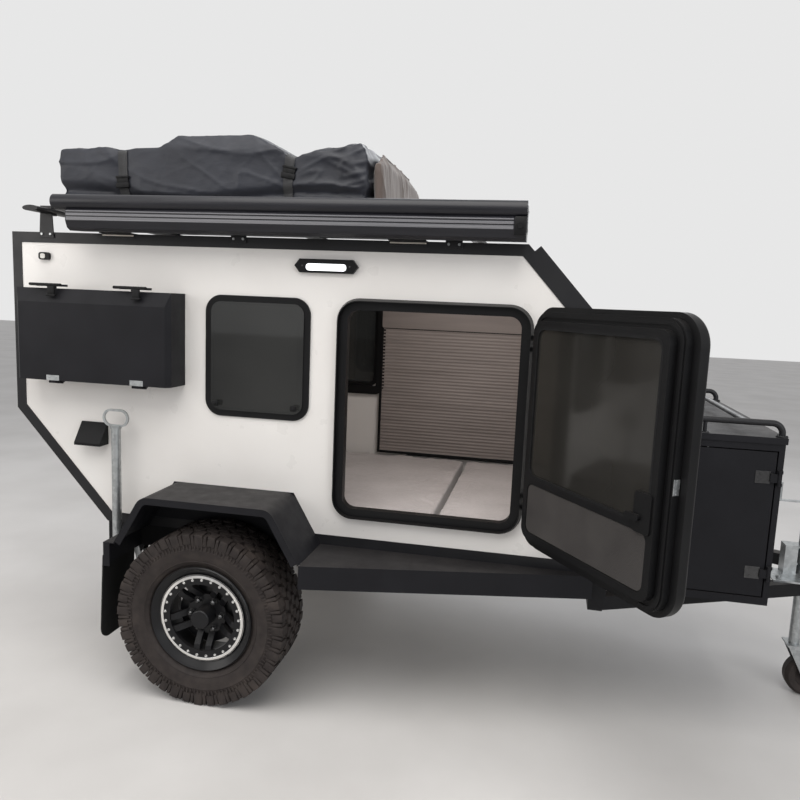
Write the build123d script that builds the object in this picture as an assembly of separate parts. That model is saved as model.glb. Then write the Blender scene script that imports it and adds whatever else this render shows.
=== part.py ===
from build123d import *

import math
import os

# A squaredrop camper trailer: a slim sandwich-panel body on a steel chassis with one axle.
# Millimetres. X runs forward from the axle, Y to the left from the centre line, Z up from the
# ground. The finished pieces are moved so that the centre of the coupling ball is the origin.

# Body outline, seen from the side
BODY_W = 1400
WALL_T = 30
BODY_FLOOR = 687
BODY_TOP = 2030
BODY_REAR = -1087
BODY_FRONT = 1700
TAIL_X = -613
REAR_KNEE_Z = 1206
BROW_X = 1287
BROW_ANGLE = 47.8
TRIM_W = 45
TRIM_T = 3
BROW_PANEL_T = 32
BROW_PANEL_SETBACK = 35

# Clearances
SEAT = 0.3
SEAL_GAP = 5
SWING_GAP = 8
SLIP = 1

# Chassis
RAIL_W = 60
RAIL_H = 100
TUBE_WALL = 4
CROSS_W = 50
CROSS_H = 60
CROSS_XS = (-560, 640, 1150, 1670)

# Wheels
TYRE_D = 775
TYRE_W = 265
WHEEL_OUT = 165.5
RIM_D = 468
BEAD_D = 432
LUG_H = 15
LUG_COUNT = 22
SPOKES = 5
SPOKE_W = 27
SPOKE_SLOT = 26
LOCK_RING_OUT = 195
LOCK_RING_IN = 151
HUB_DEPTH = 88
CAP_R = 43
CAP_DEPTH = 14
STUD_CIRCLE = 139.7
STUDS = 6

# Axle and springs
BEAM = 50
DRUM_D = 270
DRUM_W = 62
SPRING_SPAN = 900
SPRING_RISE = 62
LEAF_W = 45
LEAF_T = 8
LEAF_SHARES = (1, 0.84, 0.66, 0.48, 0.3)
EYE_R = 19
PIN_R = 8
HANGER_T = 6

# Fenders, flaps and running boards
FENDER_OUT = 298
FENDER_TOP = 911
FENDER_SHEET = 3
FENDER_LIP = 30
FENDER_BEND = 60
FENDER_LEDGE = 695
FENDER_REAR = -446
LINER_T = 2
FLAP_T = 6
FLAP_W = 245
FLAP_BOTTOM = 236
FLAP_LEAN = 17
BOARD_END = 1640
BOARD_SHEET = 4

# Side doors
DOOR_X = 912
DOOR_Z = 1303
DOOR_FRAME_W = 838
DOOR_FRAME_H = 974
DOOR_FRAME_RING = 50
DOOR_CORNER = 100
FRAME_PROUD = 8
FRAME_LINER = 4
LIP_PROUD = 34
LIP_LEAN = 11
LIP_T = 4
DOOR_SKIN_W = 850
DOOR_SKIN_H = 965
DOOR_SKIN_T = 46
DOOR_EDGE_R = 16
DOOR_INNER_Y = 684
DOOR_HINGE_X = 1350
DOOR_HINGE_OUT = 57
DOOR_OPEN = 124.5
DOOR_BAR_Z = 1112
DOOR_BAR_H = 30
LATCH_PROUD = 1.5
LATCH_Z0 = 1240
LATCH_Z1 = 1280
PANE_T = 5
HINGE_R = 5
HINGE_ARM = 8
HINGE_ZS = (970, 1636)
HINGE_H = 64

# Berth: the mattress is in two halves; a pleated blind is drawn over the left doorway
MATTRESS_SPLIT = 942
BLIND_X0 = 384
BLIND_X1 = 1345
BLIND_Z1 = 1750

# Side windows
WINDOW_X = 132
WINDOW_Z = 1510
WINDOW_W = 489
WINDOW_H = 541
WINDOW_RING = 38
WINDOW_CORNER = 75

# Rear hatch
HATCH_W = 1240
HATCH_Z0 = 1262
HATCH_Z1 = 1972
HATCH_T = 12
HATCH_HINGE_R = 7

# Boxes and lamps on the right wall
SIDE_BOX_X0 = -976
SIDE_BOX_X1 = -216
SIDE_BOX_Z0 = 1366
SIDE_BOX_Z1 = 1778
SIDE_BOX_DEPTH = 124
LID_DEPTH = 21
LID_TOP_SLOPE = 62
LID_SIDE_SLOPE = 20
LID_HINGE_XS = (-801, -386)
LATCH_XS = (-811, -397)
LATCH_BAR = 150
BOX_SHEET = 3
TAIL_LAMP_AT = 520
TAIL_LAMP_W = 90
TAIL_LAMP_OUT = 26
TAIL_LAMP_Y = 645
TAIL_LAMP_L = 200

# Front box
FRONT_BOX_X0 = 1720
FRONT_BOX_X1 = 2352
FRONT_BOX_W = 1230
FRONT_BOX_Z0 = 600
FRONT_BOX_Z1 = 1305
FRONT_BOX_WALL = 20
BOX_DOOR_X0 = 1790
BOX_DOOR_X1 = 2330
BOX_DOOR_Z0 = 632
BOX_DOOR_Z1 = 1250
RAIL_TUBE_R = 13
RAIL_Z = 1360
RAIL_CROSS_IN = 137

# Drawbar, coupling and jack
BEAM_SIZE = 60
APEX_X = 3050
DRAWBAR_TOP = 587
COUPLING_X = 3200
COUPLING_Z = 560
BALL_R = 25
JACK_X = 2640
JACK_Y = -128
JACK_R = 30
JACK_INNER_R = 24
JACK_BOTTOM = 500
JACK_TOP = 905
JOCKEY_R = 100
JOCKEY_W = 70
JOCKEY_TRAIL = 70

# Drop legs at the rear corners
LEG_X = -530
LEG_OUT = 60
LEG_R = 21
LEG_TOP = 1165
LEG_BOTTOM = 450
SOCKET_H = 110
SOCKET_TOP = 597

# Roof: awning, crossbars and folded tent
AWNING_X0 = -762
AWNING_CASE_X0 = -694
AWNING_X1 = 1280
AWNING_IN = 30
AWNING_DEPTH = 142
AWNING_Z0 = 2031
AWNING_H = 154
BAR_XS = (-905, 40, 985)
BAR_Z = 2128
REAR_BAR_OUT = 115
RACK_PLATE_TOP = 2151
BRACKET_XS = (-542, 792)
BRACKET_L = 160
TENT_X0 = -1000
TENT_X1 = 580
TENT_HALF = 520
TENT_Z0 = 2148
TENT_TOP = 2452
HUMP_TOP = 2518
CANVAS_OUT = 45
CANVAS_TOP = 2478

HALF = BODY_W / 2
INSIDE = HALF - WALL_T
BROW_Z = BODY_TOP - (BODY_FRONT - BROW_X) * math.tan(math.radians(BROW_ANGLE))
RAIL_Z0 = BODY_FLOOR - RAIL_H
AXLE_Z = TYRE_D / 2
WHEEL_Y = HALF + WHEEL_OUT
SPRING_Y = HALF - RAIL_W / 2
ORIGIN = (COUPLING_X, 0, COUPLING_Z)

nodes = {}


def block(x0, x1, y0, y1, z0, z1):
    """A straight block between six planes."""
    middle = ((x0 + x1) / 2, (y0 + y1) / 2, (z0 + z1) / 2)
    return Pos(*middle) * Box(abs(x1 - x0), abs(y1 - y0), abs(z1 - z0))


def side_plate(face, y0, y1):
    """A plate whose outline is drawn in X and Z, from y0 up to y1."""
    return extrude(Plane.XZ.offset(-y1) * face, amount=y1 - y0)


def cross_plate(face, x0, x1):
    """A plate whose outline is drawn in Y and Z, from x0 up to x1."""
    return extrude(Plane.YZ.offset(x0) * face, amount=x1 - x0)


def level_plate(face, z0, z1):
    """A plate whose outline is drawn in X and Y, from z0 up to z1."""
    return extrude(Plane.XY.offset(z0) * face, amount=z1 - z0)


def outline(points):
    """A face with straight edges through the points."""
    return make_face(Polyline(*points, close=True))


def inset(points, distance):
    """The corners of a closed outline, listed clockwise, moved inwards by a distance."""
    moved = []
    count = len(points)
    for i in range(count):
        before = Vector(*points[i - 1])
        here = Vector(*points[i])
        after = Vector(*points[(i + 1) % count])
        first = (here - before).normalized()
        second = (after - here).normalized()
        n1 = Vector(first.Y, -first.X)
        n2 = Vector(second.Y, -second.X)
        spread = n1 + n2
        corner = here + spread * (distance / (1 + n1.dot(n2)))
        moved.append((corner.X, corner.Y))
    return moved


def rod(start, end, radius):
    """A round rod between two points."""
    start = Vector(*start)
    end = Vector(*end)
    run = end - start
    return extrude(Plane(origin=start, z_dir=run) * Circle(radius), amount=run.length)


def tube(start, end, radius, wall):
    """A round tube, open at both ends."""
    start = Vector(*start)
    end = Vector(*end)
    run = end - start
    ring = Circle(radius) - Circle(radius - wall)
    return extrude(Plane(origin=start, z_dir=run) * ring, amount=run.length)


def rounded(x, z, width, height, radius):
    """A rounded rectangle with its centre at x, z."""
    return Pos(x, z) * RectangleRounded(width, height, radius)


def both_sides(name, piece):
    """The piece is made on the right, and mirrored to the left as a node of its own."""
    nodes[name + "_right"] = piece
    nodes[name + "_left"] = mirror(piece, about=Plane.XZ)


def pair(name, piece):
    """The piece is made on the right, and its mirror image on the left shares its node."""
    nodes[name] = Compound(children=[piece, mirror(piece, about=Plane.XZ)])


def trim_space(piece):
    """The piece with a notch where the corner trim stands proud of the wall."""
    outer = inset(BODY, -TRIM_T - SEAT)
    inner = inset(BODY, TRIM_W + SEAT)
    band = side_plate(outline(outer) - outline(inner), -HALF - TRIM_T - SEAT, -HALF)
    return piece - (band - block(BODY_REAR - 9, BODY_FRONT + 9, -HALF, -HALF - 9, RAIL_Z0, BODY_FLOOR))


def joined(pieces):
    """Pieces that touch, as one solid."""
    whole = pieces[0]
    for piece in pieces[1:]:
        whole = whole + piece
    return whole


# Body outline from the lower rear corner, clockwise as seen with the front to the right
BODY = [
    (TAIL_X, BODY_FLOOR),
    (BODY_REAR, REAR_KNEE_Z),
    (BODY_REAR, BODY_TOP),
    (BROW_X, BODY_TOP),
    (BODY_FRONT, BROW_Z),
    (BODY_FRONT, BODY_FLOOR),
]


def make_panels():
    """Roof, brow, front, tail and floor panels between the side walls, mitred at the corners."""
    inner = inset(BODY, WALL_T)
    table = (
        # node, number of the edge
        ("tail_panel", 0),
        ("roof_panel", 2),
        ("brow_panel", 3),
        ("front_wall", 4),
        ("floor_panel", 5),
    )
    for name, edge in table:
        after = (edge + 1) % len(BODY)
        quad = outline([BODY[edge], BODY[after], inner[after], inner[edge]])
        nodes[name] = side_plate(quad, -INSIDE, INSIDE)
    quad = outline([BODY[1], BODY[2], inner[2], inner[1]])
    rear = side_plate(quad, -INSIDE, INSIDE)
    middle = (HATCH_Z0 + HATCH_Z1) / 2
    hole = rounded(0, middle, hatch_plug_w() + 2 * SWING_GAP, hatch_plug_h() + 2 * SWING_GAP, 40)
    cut = cross_plate(hole, BODY_REAR - 1, BODY_REAR + 2 * WALL_T)
    nodes["rear_frame"] = rear - cut


def hatch_plug_w():
    """Width of the thick middle of the hatch."""
    return HATCH_W - 90


def hatch_plug_h():
    """Height of the thick middle of the hatch."""
    return HATCH_Z1 - HATCH_Z0 - 90


def door_hole_size():
    """Width and height of the hole in the wall round the door frame's liner."""
    width = DOOR_FRAME_W - 2 * DOOR_FRAME_RING + 2 * FRAME_LINER
    height = DOOR_FRAME_H - 2 * DOOR_FRAME_RING + 2 * FRAME_LINER
    return width, height


def window_hole_size():
    """Width and height of the hole in the wall round the window frame's liner."""
    width = WINDOW_W - 2 * WINDOW_RING + 2 * FRAME_LINER
    height = WINDOW_H - 2 * WINDOW_RING + 2 * FRAME_LINER
    return width, height


def make_walls():
    """Side walls with the doorway and the window cut out, and the black corner trim round them."""
    wall = side_plate(outline(BODY), -HALF, -INSIDE)
    width, height = door_hole_size()
    hole = rounded(DOOR_X, DOOR_Z, width, height, DOOR_CORNER - DOOR_FRAME_RING + FRAME_LINER)
    wall -= side_plate(hole, -HALF - 1, -INSIDE + 1)
    width, height = window_hole_size()
    hole = rounded(WINDOW_X, WINDOW_Z, width, height, WINDOW_CORNER - WINDOW_RING + FRAME_LINER)
    wall -= side_plate(hole, -HALF - 1, -INSIDE + 1)
    both_sides("wall", wall)
    outer = inset(BODY, -TRIM_T)
    inner = inset(BODY, TRIM_W)
    face = side_plate(outline(outer) - outline(inner), -HALF - TRIM_T, -HALF)
    wrap = side_plate(outline(outer) - outline(BODY), -HALF, -HALF + TRIM_W)
    below = BODY_FLOOR - 2 * TRIM_T
    foot = block(BODY_REAR, BODY_FRONT + 9, -HALF - 9, -HALF + TRIM_W, below, BODY_FLOOR)
    pair("corner_trim", face + wrap - foot)


def make_brow_cover():
    """The raised cover on the sloping brow, with a wide window in it."""
    start = Vector(BROW_X, BODY_TOP)
    end = Vector(BODY_FRONT, BROW_Z)
    along = (end - start).normalized()
    out = Vector(-along.Y, along.X)
    first = start + along * BROW_PANEL_SETBACK
    last = end - along * BROW_PANEL_SETBACK
    low = out * TRIM_T
    high = out * (TRIM_T + BROW_PANEL_T)
    corners = []
    for point in (first + low, first + high, last + high, last + low):
        corners.append((point.X, point.Y))
    nodes["brow_cover"] = side_plate(outline(corners), -HALF, HALF)


def make_chassis():
    """Two rectangular rails under the walls, crossmembers, and hangers for the springs."""
    pieces = []
    for side in (-1, 1):
        outer = side * HALF
        inner = side * (HALF - RAIL_W)
        rail = block(TAIL_X, BODY_FRONT, outer, inner, RAIL_Z0, BODY_FLOOR)
        hollow = (
            TAIL_X - 1,
            BODY_FRONT + 1,
            outer - side * TUBE_WALL,
            inner + side * TUBE_WALL,
            RAIL_Z0 + TUBE_WALL,
            BODY_FLOOR - TUBE_WALL,
        )
        pieces.append(rail - block(*hollow))
        y = side * SPRING_Y
        half = LEAF_W / 2 + SLIP
        eye_z = spring_eye_z()
        for x, drop in ((SPRING_SPAN / 2, eye_z), (-SPRING_SPAN / 2 - shackle_lean(), shackle_top())):
            for edge in (y - half - HANGER_T, y + half):
                plate = outline(
                    [
                        (x - 34, RAIL_Z0),
                        (x + 34, RAIL_Z0),
                        (x + EYE_R, drop - EYE_R),
                        (x - EYE_R, drop - EYE_R),
                    ]
                )
                pieces.append(side_plate(plate, edge, edge + HANGER_T))
            reach = half + HANGER_T
            pieces.append(rod((x, y - reach, drop), (x, y + reach, drop), PIN_R))
    for x in CROSS_XS:
        low = BODY_FLOOR - CROSS_H
        span = HALF - RAIL_W
        pieces.append(block(x - CROSS_W / 2, x + CROSS_W / 2, -span, span, low, BODY_FLOOR))
    nodes["chassis_frame"] = joined(pieces)


def spring_seat_z():
    """Top of the axle beam, where the spring sits."""
    return AXLE_Z + BEAM / 2


def spring_eye_z():
    """Height of the spring's eyes."""
    return spring_seat_z() + LEAF_T * (len(LEAF_SHARES) - 0.5) + SPRING_RISE


def shackle_lean():
    """How far the shackle leans rearwards."""
    return 14


def shackle_top():
    """Height of the shackle's upper pin."""
    return RAIL_Z0 - EYE_R - 2


def make_springs():
    """Leaf springs with rolled eyes, their clamps, and the shackles at the rear."""
    half_span = SPRING_SPAN / 2
    mid_z = spring_seat_z() + LEAF_T * (len(LEAF_SHARES) - 0.5)
    eye_z = spring_eye_z()
    radius = (half_span**2 + SPRING_RISE**2) / (2 * SPRING_RISE)
    centre_z = mid_z + radius
    y0 = -SPRING_Y - LEAF_W / 2
    y1 = -SPRING_Y + LEAF_W / 2
    pieces = []
    full = math.degrees(math.asin(half_span / radius))
    for number, share in enumerate(LEAF_SHARES):
        r = radius + number * LEAF_T
        arc = CenterArc((0, centre_z), r, 270 - full * share, 2 * full * share)
        pieces.append(side_plate(trace(arc, LEAF_T), y0, y1))
    spring = joined(pieces)
    for x in (-half_span, half_span):
        spring += rod((x, y0, eye_z), (x, y1, eye_z), EYE_R)
    for x in (-half_span, half_span):
        spring -= rod((x, y0 - 1, eye_z), (x, y1 + 1, eye_z), PIN_R + SEAT)
    pair("leaf_springs", spring)
    top_leaf = mid_z + LEAF_T / 2
    clamp = block(-50, 50, y0 - 16, y1 + 16, top_leaf + SLIP, top_leaf + 11)
    base = spring_seat_z() - BEAM
    clamp += block(-50, 50, y0 - 16, y1 + 16, base - 10, base)
    for x in (-38, 38):
        for y in (y0 - 8, y1 + 8):
            clamp += rod((x, y, base - 22), (x, y, top_leaf + 22), 6)
    shackle_y = LEAF_W / 2 + SLIP + HANGER_T
    rear = -half_span
    top = rear - shackle_lean()
    pieces = []
    for side in (-1, 1):
        inner = -SPRING_Y + side * (shackle_y + SEAT)
        outer = inner + side * HANGER_T
        low = min(inner, outer)
        high = max(inner, outer)
        bar = SlotCenterToCenter((Vector(rear, eye_z) - Vector(top, shackle_top())).length, 30)
        lean = math.degrees(math.atan2(shackle_top() - eye_z, top - rear))
        middle = Pos((rear + top) / 2, (eye_z + shackle_top()) / 2)
        pieces.append(side_plate(middle * Rot(0, 0, lean) * bar, low, high))
    reach = shackle_y + HANGER_T + SEAT
    pin = rod((rear, -SPRING_Y - reach, eye_z), (rear, -SPRING_Y + reach, eye_z), PIN_R)
    shackle = joined([pin] + pieces)
    mirrored = [mirror(clamp, about=Plane.XZ), mirror(shackle, about=Plane.XZ)]
    nodes["spring_fittings"] = Compound(children=[clamp, shackle] + mirrored)


def make_axle():
    """The beam axle with a brake drum and a hub flange at each end."""
    drum_in = drum_inner_y()
    beam = block(-BEAM / 2, BEAM / 2, -drum_in, drum_in, AXLE_Z - BEAM / 2, AXLE_Z + BEAM / 2)
    for side in (-1, 1):
        back = rod((0, side * drum_in, AXLE_Z), (0, side * (drum_in + 10), AXLE_Z), DRUM_D / 2)
        beam += back
        spindle_end = side * (WHEEL_Y - 20)
        beam += rod((0, side * drum_in, AXLE_Z), (0, spindle_end, AXLE_Z), 20)
    nodes["axle"] = beam


def drum_inner_y():
    """Where the fixed backing plate of the brake starts."""
    return WHEEL_Y - DRUM_W - 30


def tyre_section():
    """Half of the tyre's carcass in radius and width, as a closed outline."""
    half = TYRE_W / 2
    tread = TYRE_D / 2 - LUG_H
    bead = BEAD_D / 2
    return [
        (bead, half - 36),
        (RIM_D / 2 + 3, half - 36),
        (RIM_D / 2 + 14, half - 22),
        (bead + 60, half - 10),
        (bead + 100, half - 6),
        (tread - 22, half - 16),
        (tread, half - 34),
        (tread + 3, 0),
        (tread, -half + 34),
        (tread - 22, -half + 16),
        (bead + 100, -half + 6),
        (bead + 60, -half + 10),
        (RIM_D / 2 + 14, -half + 22),
        (RIM_D / 2 + 3, -half + 36),
        (bead, -half + 36),
        (bead, -half + 52),
        (bead + 40, -half + 40),
        (tread - 30, -half + 60),
        (tread - 24, 0),
        (tread - 30, half - 60),
        (bead + 40, half - 40),
        (bead, half - 52),
    ]


def tyre_envelope():
    """The outline that the lugs reach out to, shoulders rounded off."""
    half = TYRE_W / 2
    top = TYRE_D / 2
    return [
        (top - 70, half - 10),
        (top - 62, half),
        (top - 26, half - 3),
        (top - 7, half - 14),
        (top, half - 34),
        (top, -half + 34),
        (top - 7, -half + 14),
        (top - 26, -half + 3),
        (top - 62, -half),
        (top - 70, -half + 10),
    ]


def lug_ring(y0, y1, count, share, phase, low):
    """A ring of lugs from y0 to y1 in the wheel's own width direction, low to the tread's top."""
    pitch = 360 / count
    wide = TYRE_D / 2 + 20
    spread = math.radians(pitch * share / 2)
    ring = []
    for i in range(count):
        turn = math.radians(pitch * (i + phase))
        corners = []
        for radius, sign in ((low, -1), (wide, -1), (wide, 1), (low, 1)):
            angle = turn + sign * spread
            corners.append((radius * math.cos(angle), radius * math.sin(angle)))
        ring.append(outline(corners))
    prism = []
    for face in ring:
        prism.append(extrude(Plane.XZ.offset(-y1) * face, amount=y1 - y0))
    return prism


def make_tyres():
    """Mud-terrain tyres: a hollow carcass with shoulder lugs and two rows of middle blocks."""
    half = TYRE_W / 2
    plane = Plane(origin=(0, 0, 0), x_dir=(1, 0, 0), z_dir=(0, 0, 1))
    carcass = revolve(plane * outline(tyre_section()), Axis.Y)
    shell = revolve(plane * outline(tyre_envelope()), Axis.Y)
    tread = TYRE_D / 2 - LUG_H - 6
    table = (
        # inner edge, outer edge, share of the pitch, phase, lowest radius
        (half - 62, half + 5, 0.52, 0, TYRE_D / 2 - 66),
        (-half - 5, -half + 62, 0.52, 0.5, TYRE_D / 2 - 66),
        (8, half - 70, 0.6, 0.4, tread),
        (-half + 70, -8, 0.6, 0.9, tread),
    )
    lugs = []
    for inner, outer, share, phase, low in table:
        lugs += lug_ring(inner, outer, LUG_COUNT, share, phase, low)
    tyre = carcass + [lug & shell for lug in lugs]
    nodes["tyre_right"] = Pos(0, -WHEEL_Y, AXLE_Z) * tyre
    nodes["tyre_left"] = mirror(nodes["tyre_right"], about=Plane.XZ)


def make_rims():
    """Deep-dish rims with five pairs of spokes, a bolted ring, and the hub with its nuts and cap."""
    half = TYRE_W / 2
    rim_r = RIM_D / 2
    bead = BEAD_D / 2
    well = bead - 24
    ring_y = -half + 36
    profile = [
        (bead - SEAT, half - 34),
        (rim_r, half - 34),
        (rim_r, half - 26),
        (bead - 12, half - 26),
        (bead - 14, half - 60),
        (well - 4, half - 84),
        (well - 4, ring_y + 46),
        (LOCK_RING_IN + 24, ring_y + 26),
        (LOCK_RING_IN, ring_y + 20),
        (LOCK_RING_IN, ring_y + 2),
        (LOCK_RING_OUT - 14, ring_y),
        (LOCK_RING_OUT, ring_y),
        (LOCK_RING_OUT + 2, ring_y + 8),
        (rim_r - 12, -half + 24),
        (rim_r - 4, -half + 18),
        (rim_r, -half + 22),
        (rim_r, -half + 31),
        (bead - SEAT, -half + 31),
        (bead - SEAT, -half + 56),
        (well, -half + 88),
        (well, half - 78),
        (bead - SEAT, half - 54),
    ]
    rim = revolve(Plane.XY * outline(profile), Axis.Y)
    hub_r = STUD_CIRCLE / 2 + 20
    hub_y = -half + HUB_DEPTH
    hub_back = hub_y + 18
    rim += rod((0, hub_back, 0), (0, hub_y, 0), hub_r)
    arm = outline(
        [
            (hub_r - 14, hub_y),
            (LOCK_RING_IN - 22, ring_y + 12),
            (LOCK_RING_IN + 6, ring_y + 6),
            (LOCK_RING_IN + 12, ring_y + 24),
            (hub_r - 14, hub_back),
        ]
    )
    for i in range(SPOKES):
        for inner in (SPOKE_SLOT / 2, -SPOKE_SLOT / 2 - SPOKE_W):
            spoke = level_plate(arm, inner, inner + SPOKE_W)
            rim += Rot(0, 90 + 360 * i / SPOKES, 0) * spoke
    for i in range(STUDS):
        turn = math.radians(360 * i / STUDS)
        x = STUD_CIRCLE / 2 * math.cos(turn)
        z = STUD_CIRCLE / 2 * math.sin(turn)
        rim += rod((x, hub_y, z), (x, hub_y - 20, z), 10)
    cap = rod((0, hub_y, 0), (0, -half + CAP_DEPTH, 0), CAP_R)
    rim += fillet(cap.faces().sort_by(Axis.Y)[0].edges(), 10)
    drum_end = WHEEL_Y - drum_inner_y() - 10 - SEAL_GAP
    drum = rod((0, hub_back, 0), (0, drum_end, 0), DRUM_D / 2)
    drum -= rod((0, hub_back + 20, 0), (0, WHEEL_Y, 0), 20 + SEAT)
    rim += drum
    nodes["rim_right"] = Pos(0, -WHEEL_Y, AXLE_Z) * rim
    nodes["rim_left"] = mirror(nodes["rim_right"], about=Plane.XZ)


# Fender seen from the side, from the front foot over the top to the ledge behind the wheel
FENDER = [
    (446, BODY_FLOOR),
    (315, FENDER_TOP),
    (-271, FENDER_TOP),
    (-397, FENDER_LEDGE),
]


def make_fenders():
    """Bent sheet fenders with a turned-down lip, a liner on the wall, and the rubber flaps."""
    half_sheet = FENDER_SHEET / 2
    lines = []
    for depth in (half_sheet, FENDER_LIP / 2):
        front, high_front, high_rear, rear = inset(list(reversed(FENDER)), depth)[::-1]
        rise = (FENDER_TOP - depth - BODY_FLOOR) / (FENDER_TOP - BODY_FLOOR)
        foot = high_front[0] + (FENDER[0][0] - FENDER[1][0]) * rise
        heel = high_rear[0] - (high_rear[1] - FENDER_LEDGE) * 0.583
        lines.append([(foot, BODY_FLOOR), high_front, high_rear, (heel, FENDER_LEDGE)])
    sheet = trace(FilletPolyline(*lines[0], radius=FENDER_BEND), FENDER_SHEET)
    edge = trace(FilletPolyline(*lines[1], radius=FENDER_BEND - FENDER_LIP / 2), FENDER_LIP)
    outer = -HALF - FENDER_OUT
    fender = side_plate(sheet, outer, -HALF)
    fender += side_plate(edge, outer, outer + FENDER_SHEET)
    heel = FENDER[-1][0] + 6
    low = FENDER_LEDGE - FENDER_SHEET
    fender += block(FENDER_REAR, heel, outer, -HALF, low, FENDER_LEDGE)
    fender += block(FENDER_REAR, FENDER_REAR + FENDER_SHEET, outer, -HALF, RAIL_Z0, FENDER_LEDGE)
    lip_x = FENDER_REAR + FENDER_LIP
    fender += block(FENDER_REAR, lip_x, outer, outer + FENDER_SHEET, RAIL_Z0, FENDER_LEDGE)
    liner = outline([FENDER[0], FENDER[1], FENDER[2], FENDER[3], (FENDER[3][0], BODY_FLOOR)])
    fender += side_plate(liner, -HALF - LINER_T, -HALF)
    pair("fenders", trim_space(fender))
    high = RAIL_Z0 + 45
    x1 = FENDER_REAR - SEAT
    side = outline(
        [
            (x1, high),
            (x1 - FLAP_T, high),
            (x1 - FLAP_T - FLAP_LEAN, FLAP_BOTTOM),
            (x1 - FLAP_LEAN, FLAP_BOTTOM),
        ]
    )
    flap = side_plate(side, outer + 4, outer + 4 + FLAP_W)
    face = Pos(outer + 4 + FLAP_W / 2, (FLAP_BOTTOM + high) / 2) * Rectangle(FLAP_W, high - FLAP_BOTTOM)
    corner = face.vertices().group_by(Axis.Y)[0].sort_by(Axis.X)[0]
    cutter = cross_plate(fillet(corner, 60), x1 - FLAP_T - FLAP_LEAN - 1, x1 + 1)
    pair("mud_flaps", flap & cutter)


def make_boards():
    """Running boards: a folded sheet, wide behind the fender and narrow at the front."""
    start = FENDER[0][0]
    corners = [
        (start, -HALF),
        (BOARD_END, -HALF),
        (BOARD_END, -HALF - 32),
        (start, -HALF - FENDER_OUT),
    ]
    board = level_plate(outline(corners), RAIL_Z0, BODY_FLOOR)
    inner = level_plate(outline(inset(corners, BOARD_SHEET)), RAIL_Z0 - 1, BODY_FLOOR - BOARD_SHEET)
    pair("running_boards", board - inner)


def lip_well_size():
    """Width and height of the space inside the door frame's raised lip."""
    lip = 2 * (LIP_LEAN + LIP_T)
    return DOOR_FRAME_W - lip, DOOR_FRAME_H - lip


def make_door_frames():
    """Door frames clamped in the walls: a raised outer lip, and a hinge pin at the front edge."""
    corner = DOOR_CORNER
    clear_w = DOOR_FRAME_W - 2 * DOOR_FRAME_RING
    clear_h = DOOR_FRAME_H - 2 * DOOR_FRAME_RING
    clear_r = corner - DOOR_FRAME_RING
    clear = rounded(DOOR_X, DOOR_Z, clear_w, clear_h, clear_r)
    foot = rounded(DOOR_X, DOOR_Z, DOOR_FRAME_W, DOOR_FRAME_H, corner)
    lean = 2 * LIP_LEAN
    top = rounded(DOOR_X, DOOR_Z, DOOR_FRAME_W - lean, DOOR_FRAME_H - lean, corner - LIP_LEAN)
    start = Plane.XZ.offset(HALF)
    frame = loft([start * foot, start.offset(LIP_PROUD) * top])
    well_w, well_h = lip_well_size()
    well = rounded(DOOR_X, DOOR_Z, well_w, well_h, corner - LIP_LEAN - LIP_T)
    frame -= side_plate(well, -HALF - LIP_PROUD - 1, -HALF - FRAME_PROUD)
    frame -= side_plate(clear, -HALF - FRAME_PROUD - 1, -HALF + 1)
    hole_w, hole_h = door_hole_size()
    liner = rounded(DOOR_X, DOOR_Z, hole_w, hole_h, clear_r + FRAME_LINER)
    frame += side_plate(liner - clear, -HALF, -INSIDE)
    inner = rounded(DOOR_X, DOOR_Z, DOOR_FRAME_W - 30, DOOR_FRAME_H - 30, corner - 15)
    frame += side_plate(inner - clear, -INSIDE, -INSIDE + FRAME_LINER)
    edge = DOOR_X + DOOR_FRAME_W / 2
    x0 = DOOR_HINGE_X - HINGE_ARM
    x1 = DOOR_HINGE_X + HINGE_ARM
    pin_y = -HALF - DOOR_HINGE_OUT
    for z in HINGE_ZS:
        low = z - HINGE_H / 2
        for z0 in (low, low + HINGE_H - 16):
            arm = block(edge - 12, x1, -HALF - FRAME_PROUD, -HALF, z0, z0 + 16)
            arm += block(x0, x1, pin_y, -HALF, z0, z0 + 16)
            arm += rod((DOOR_HINGE_X, pin_y, z0), (DOOR_HINGE_X, pin_y, z0 + 16), HINGE_ARM)
            frame += arm
        frame += rod((DOOR_HINGE_X, pin_y, low), (DOOR_HINGE_X, pin_y, low + HINGE_H), HINGE_R)
    pair("door_frames", frame)


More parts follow.
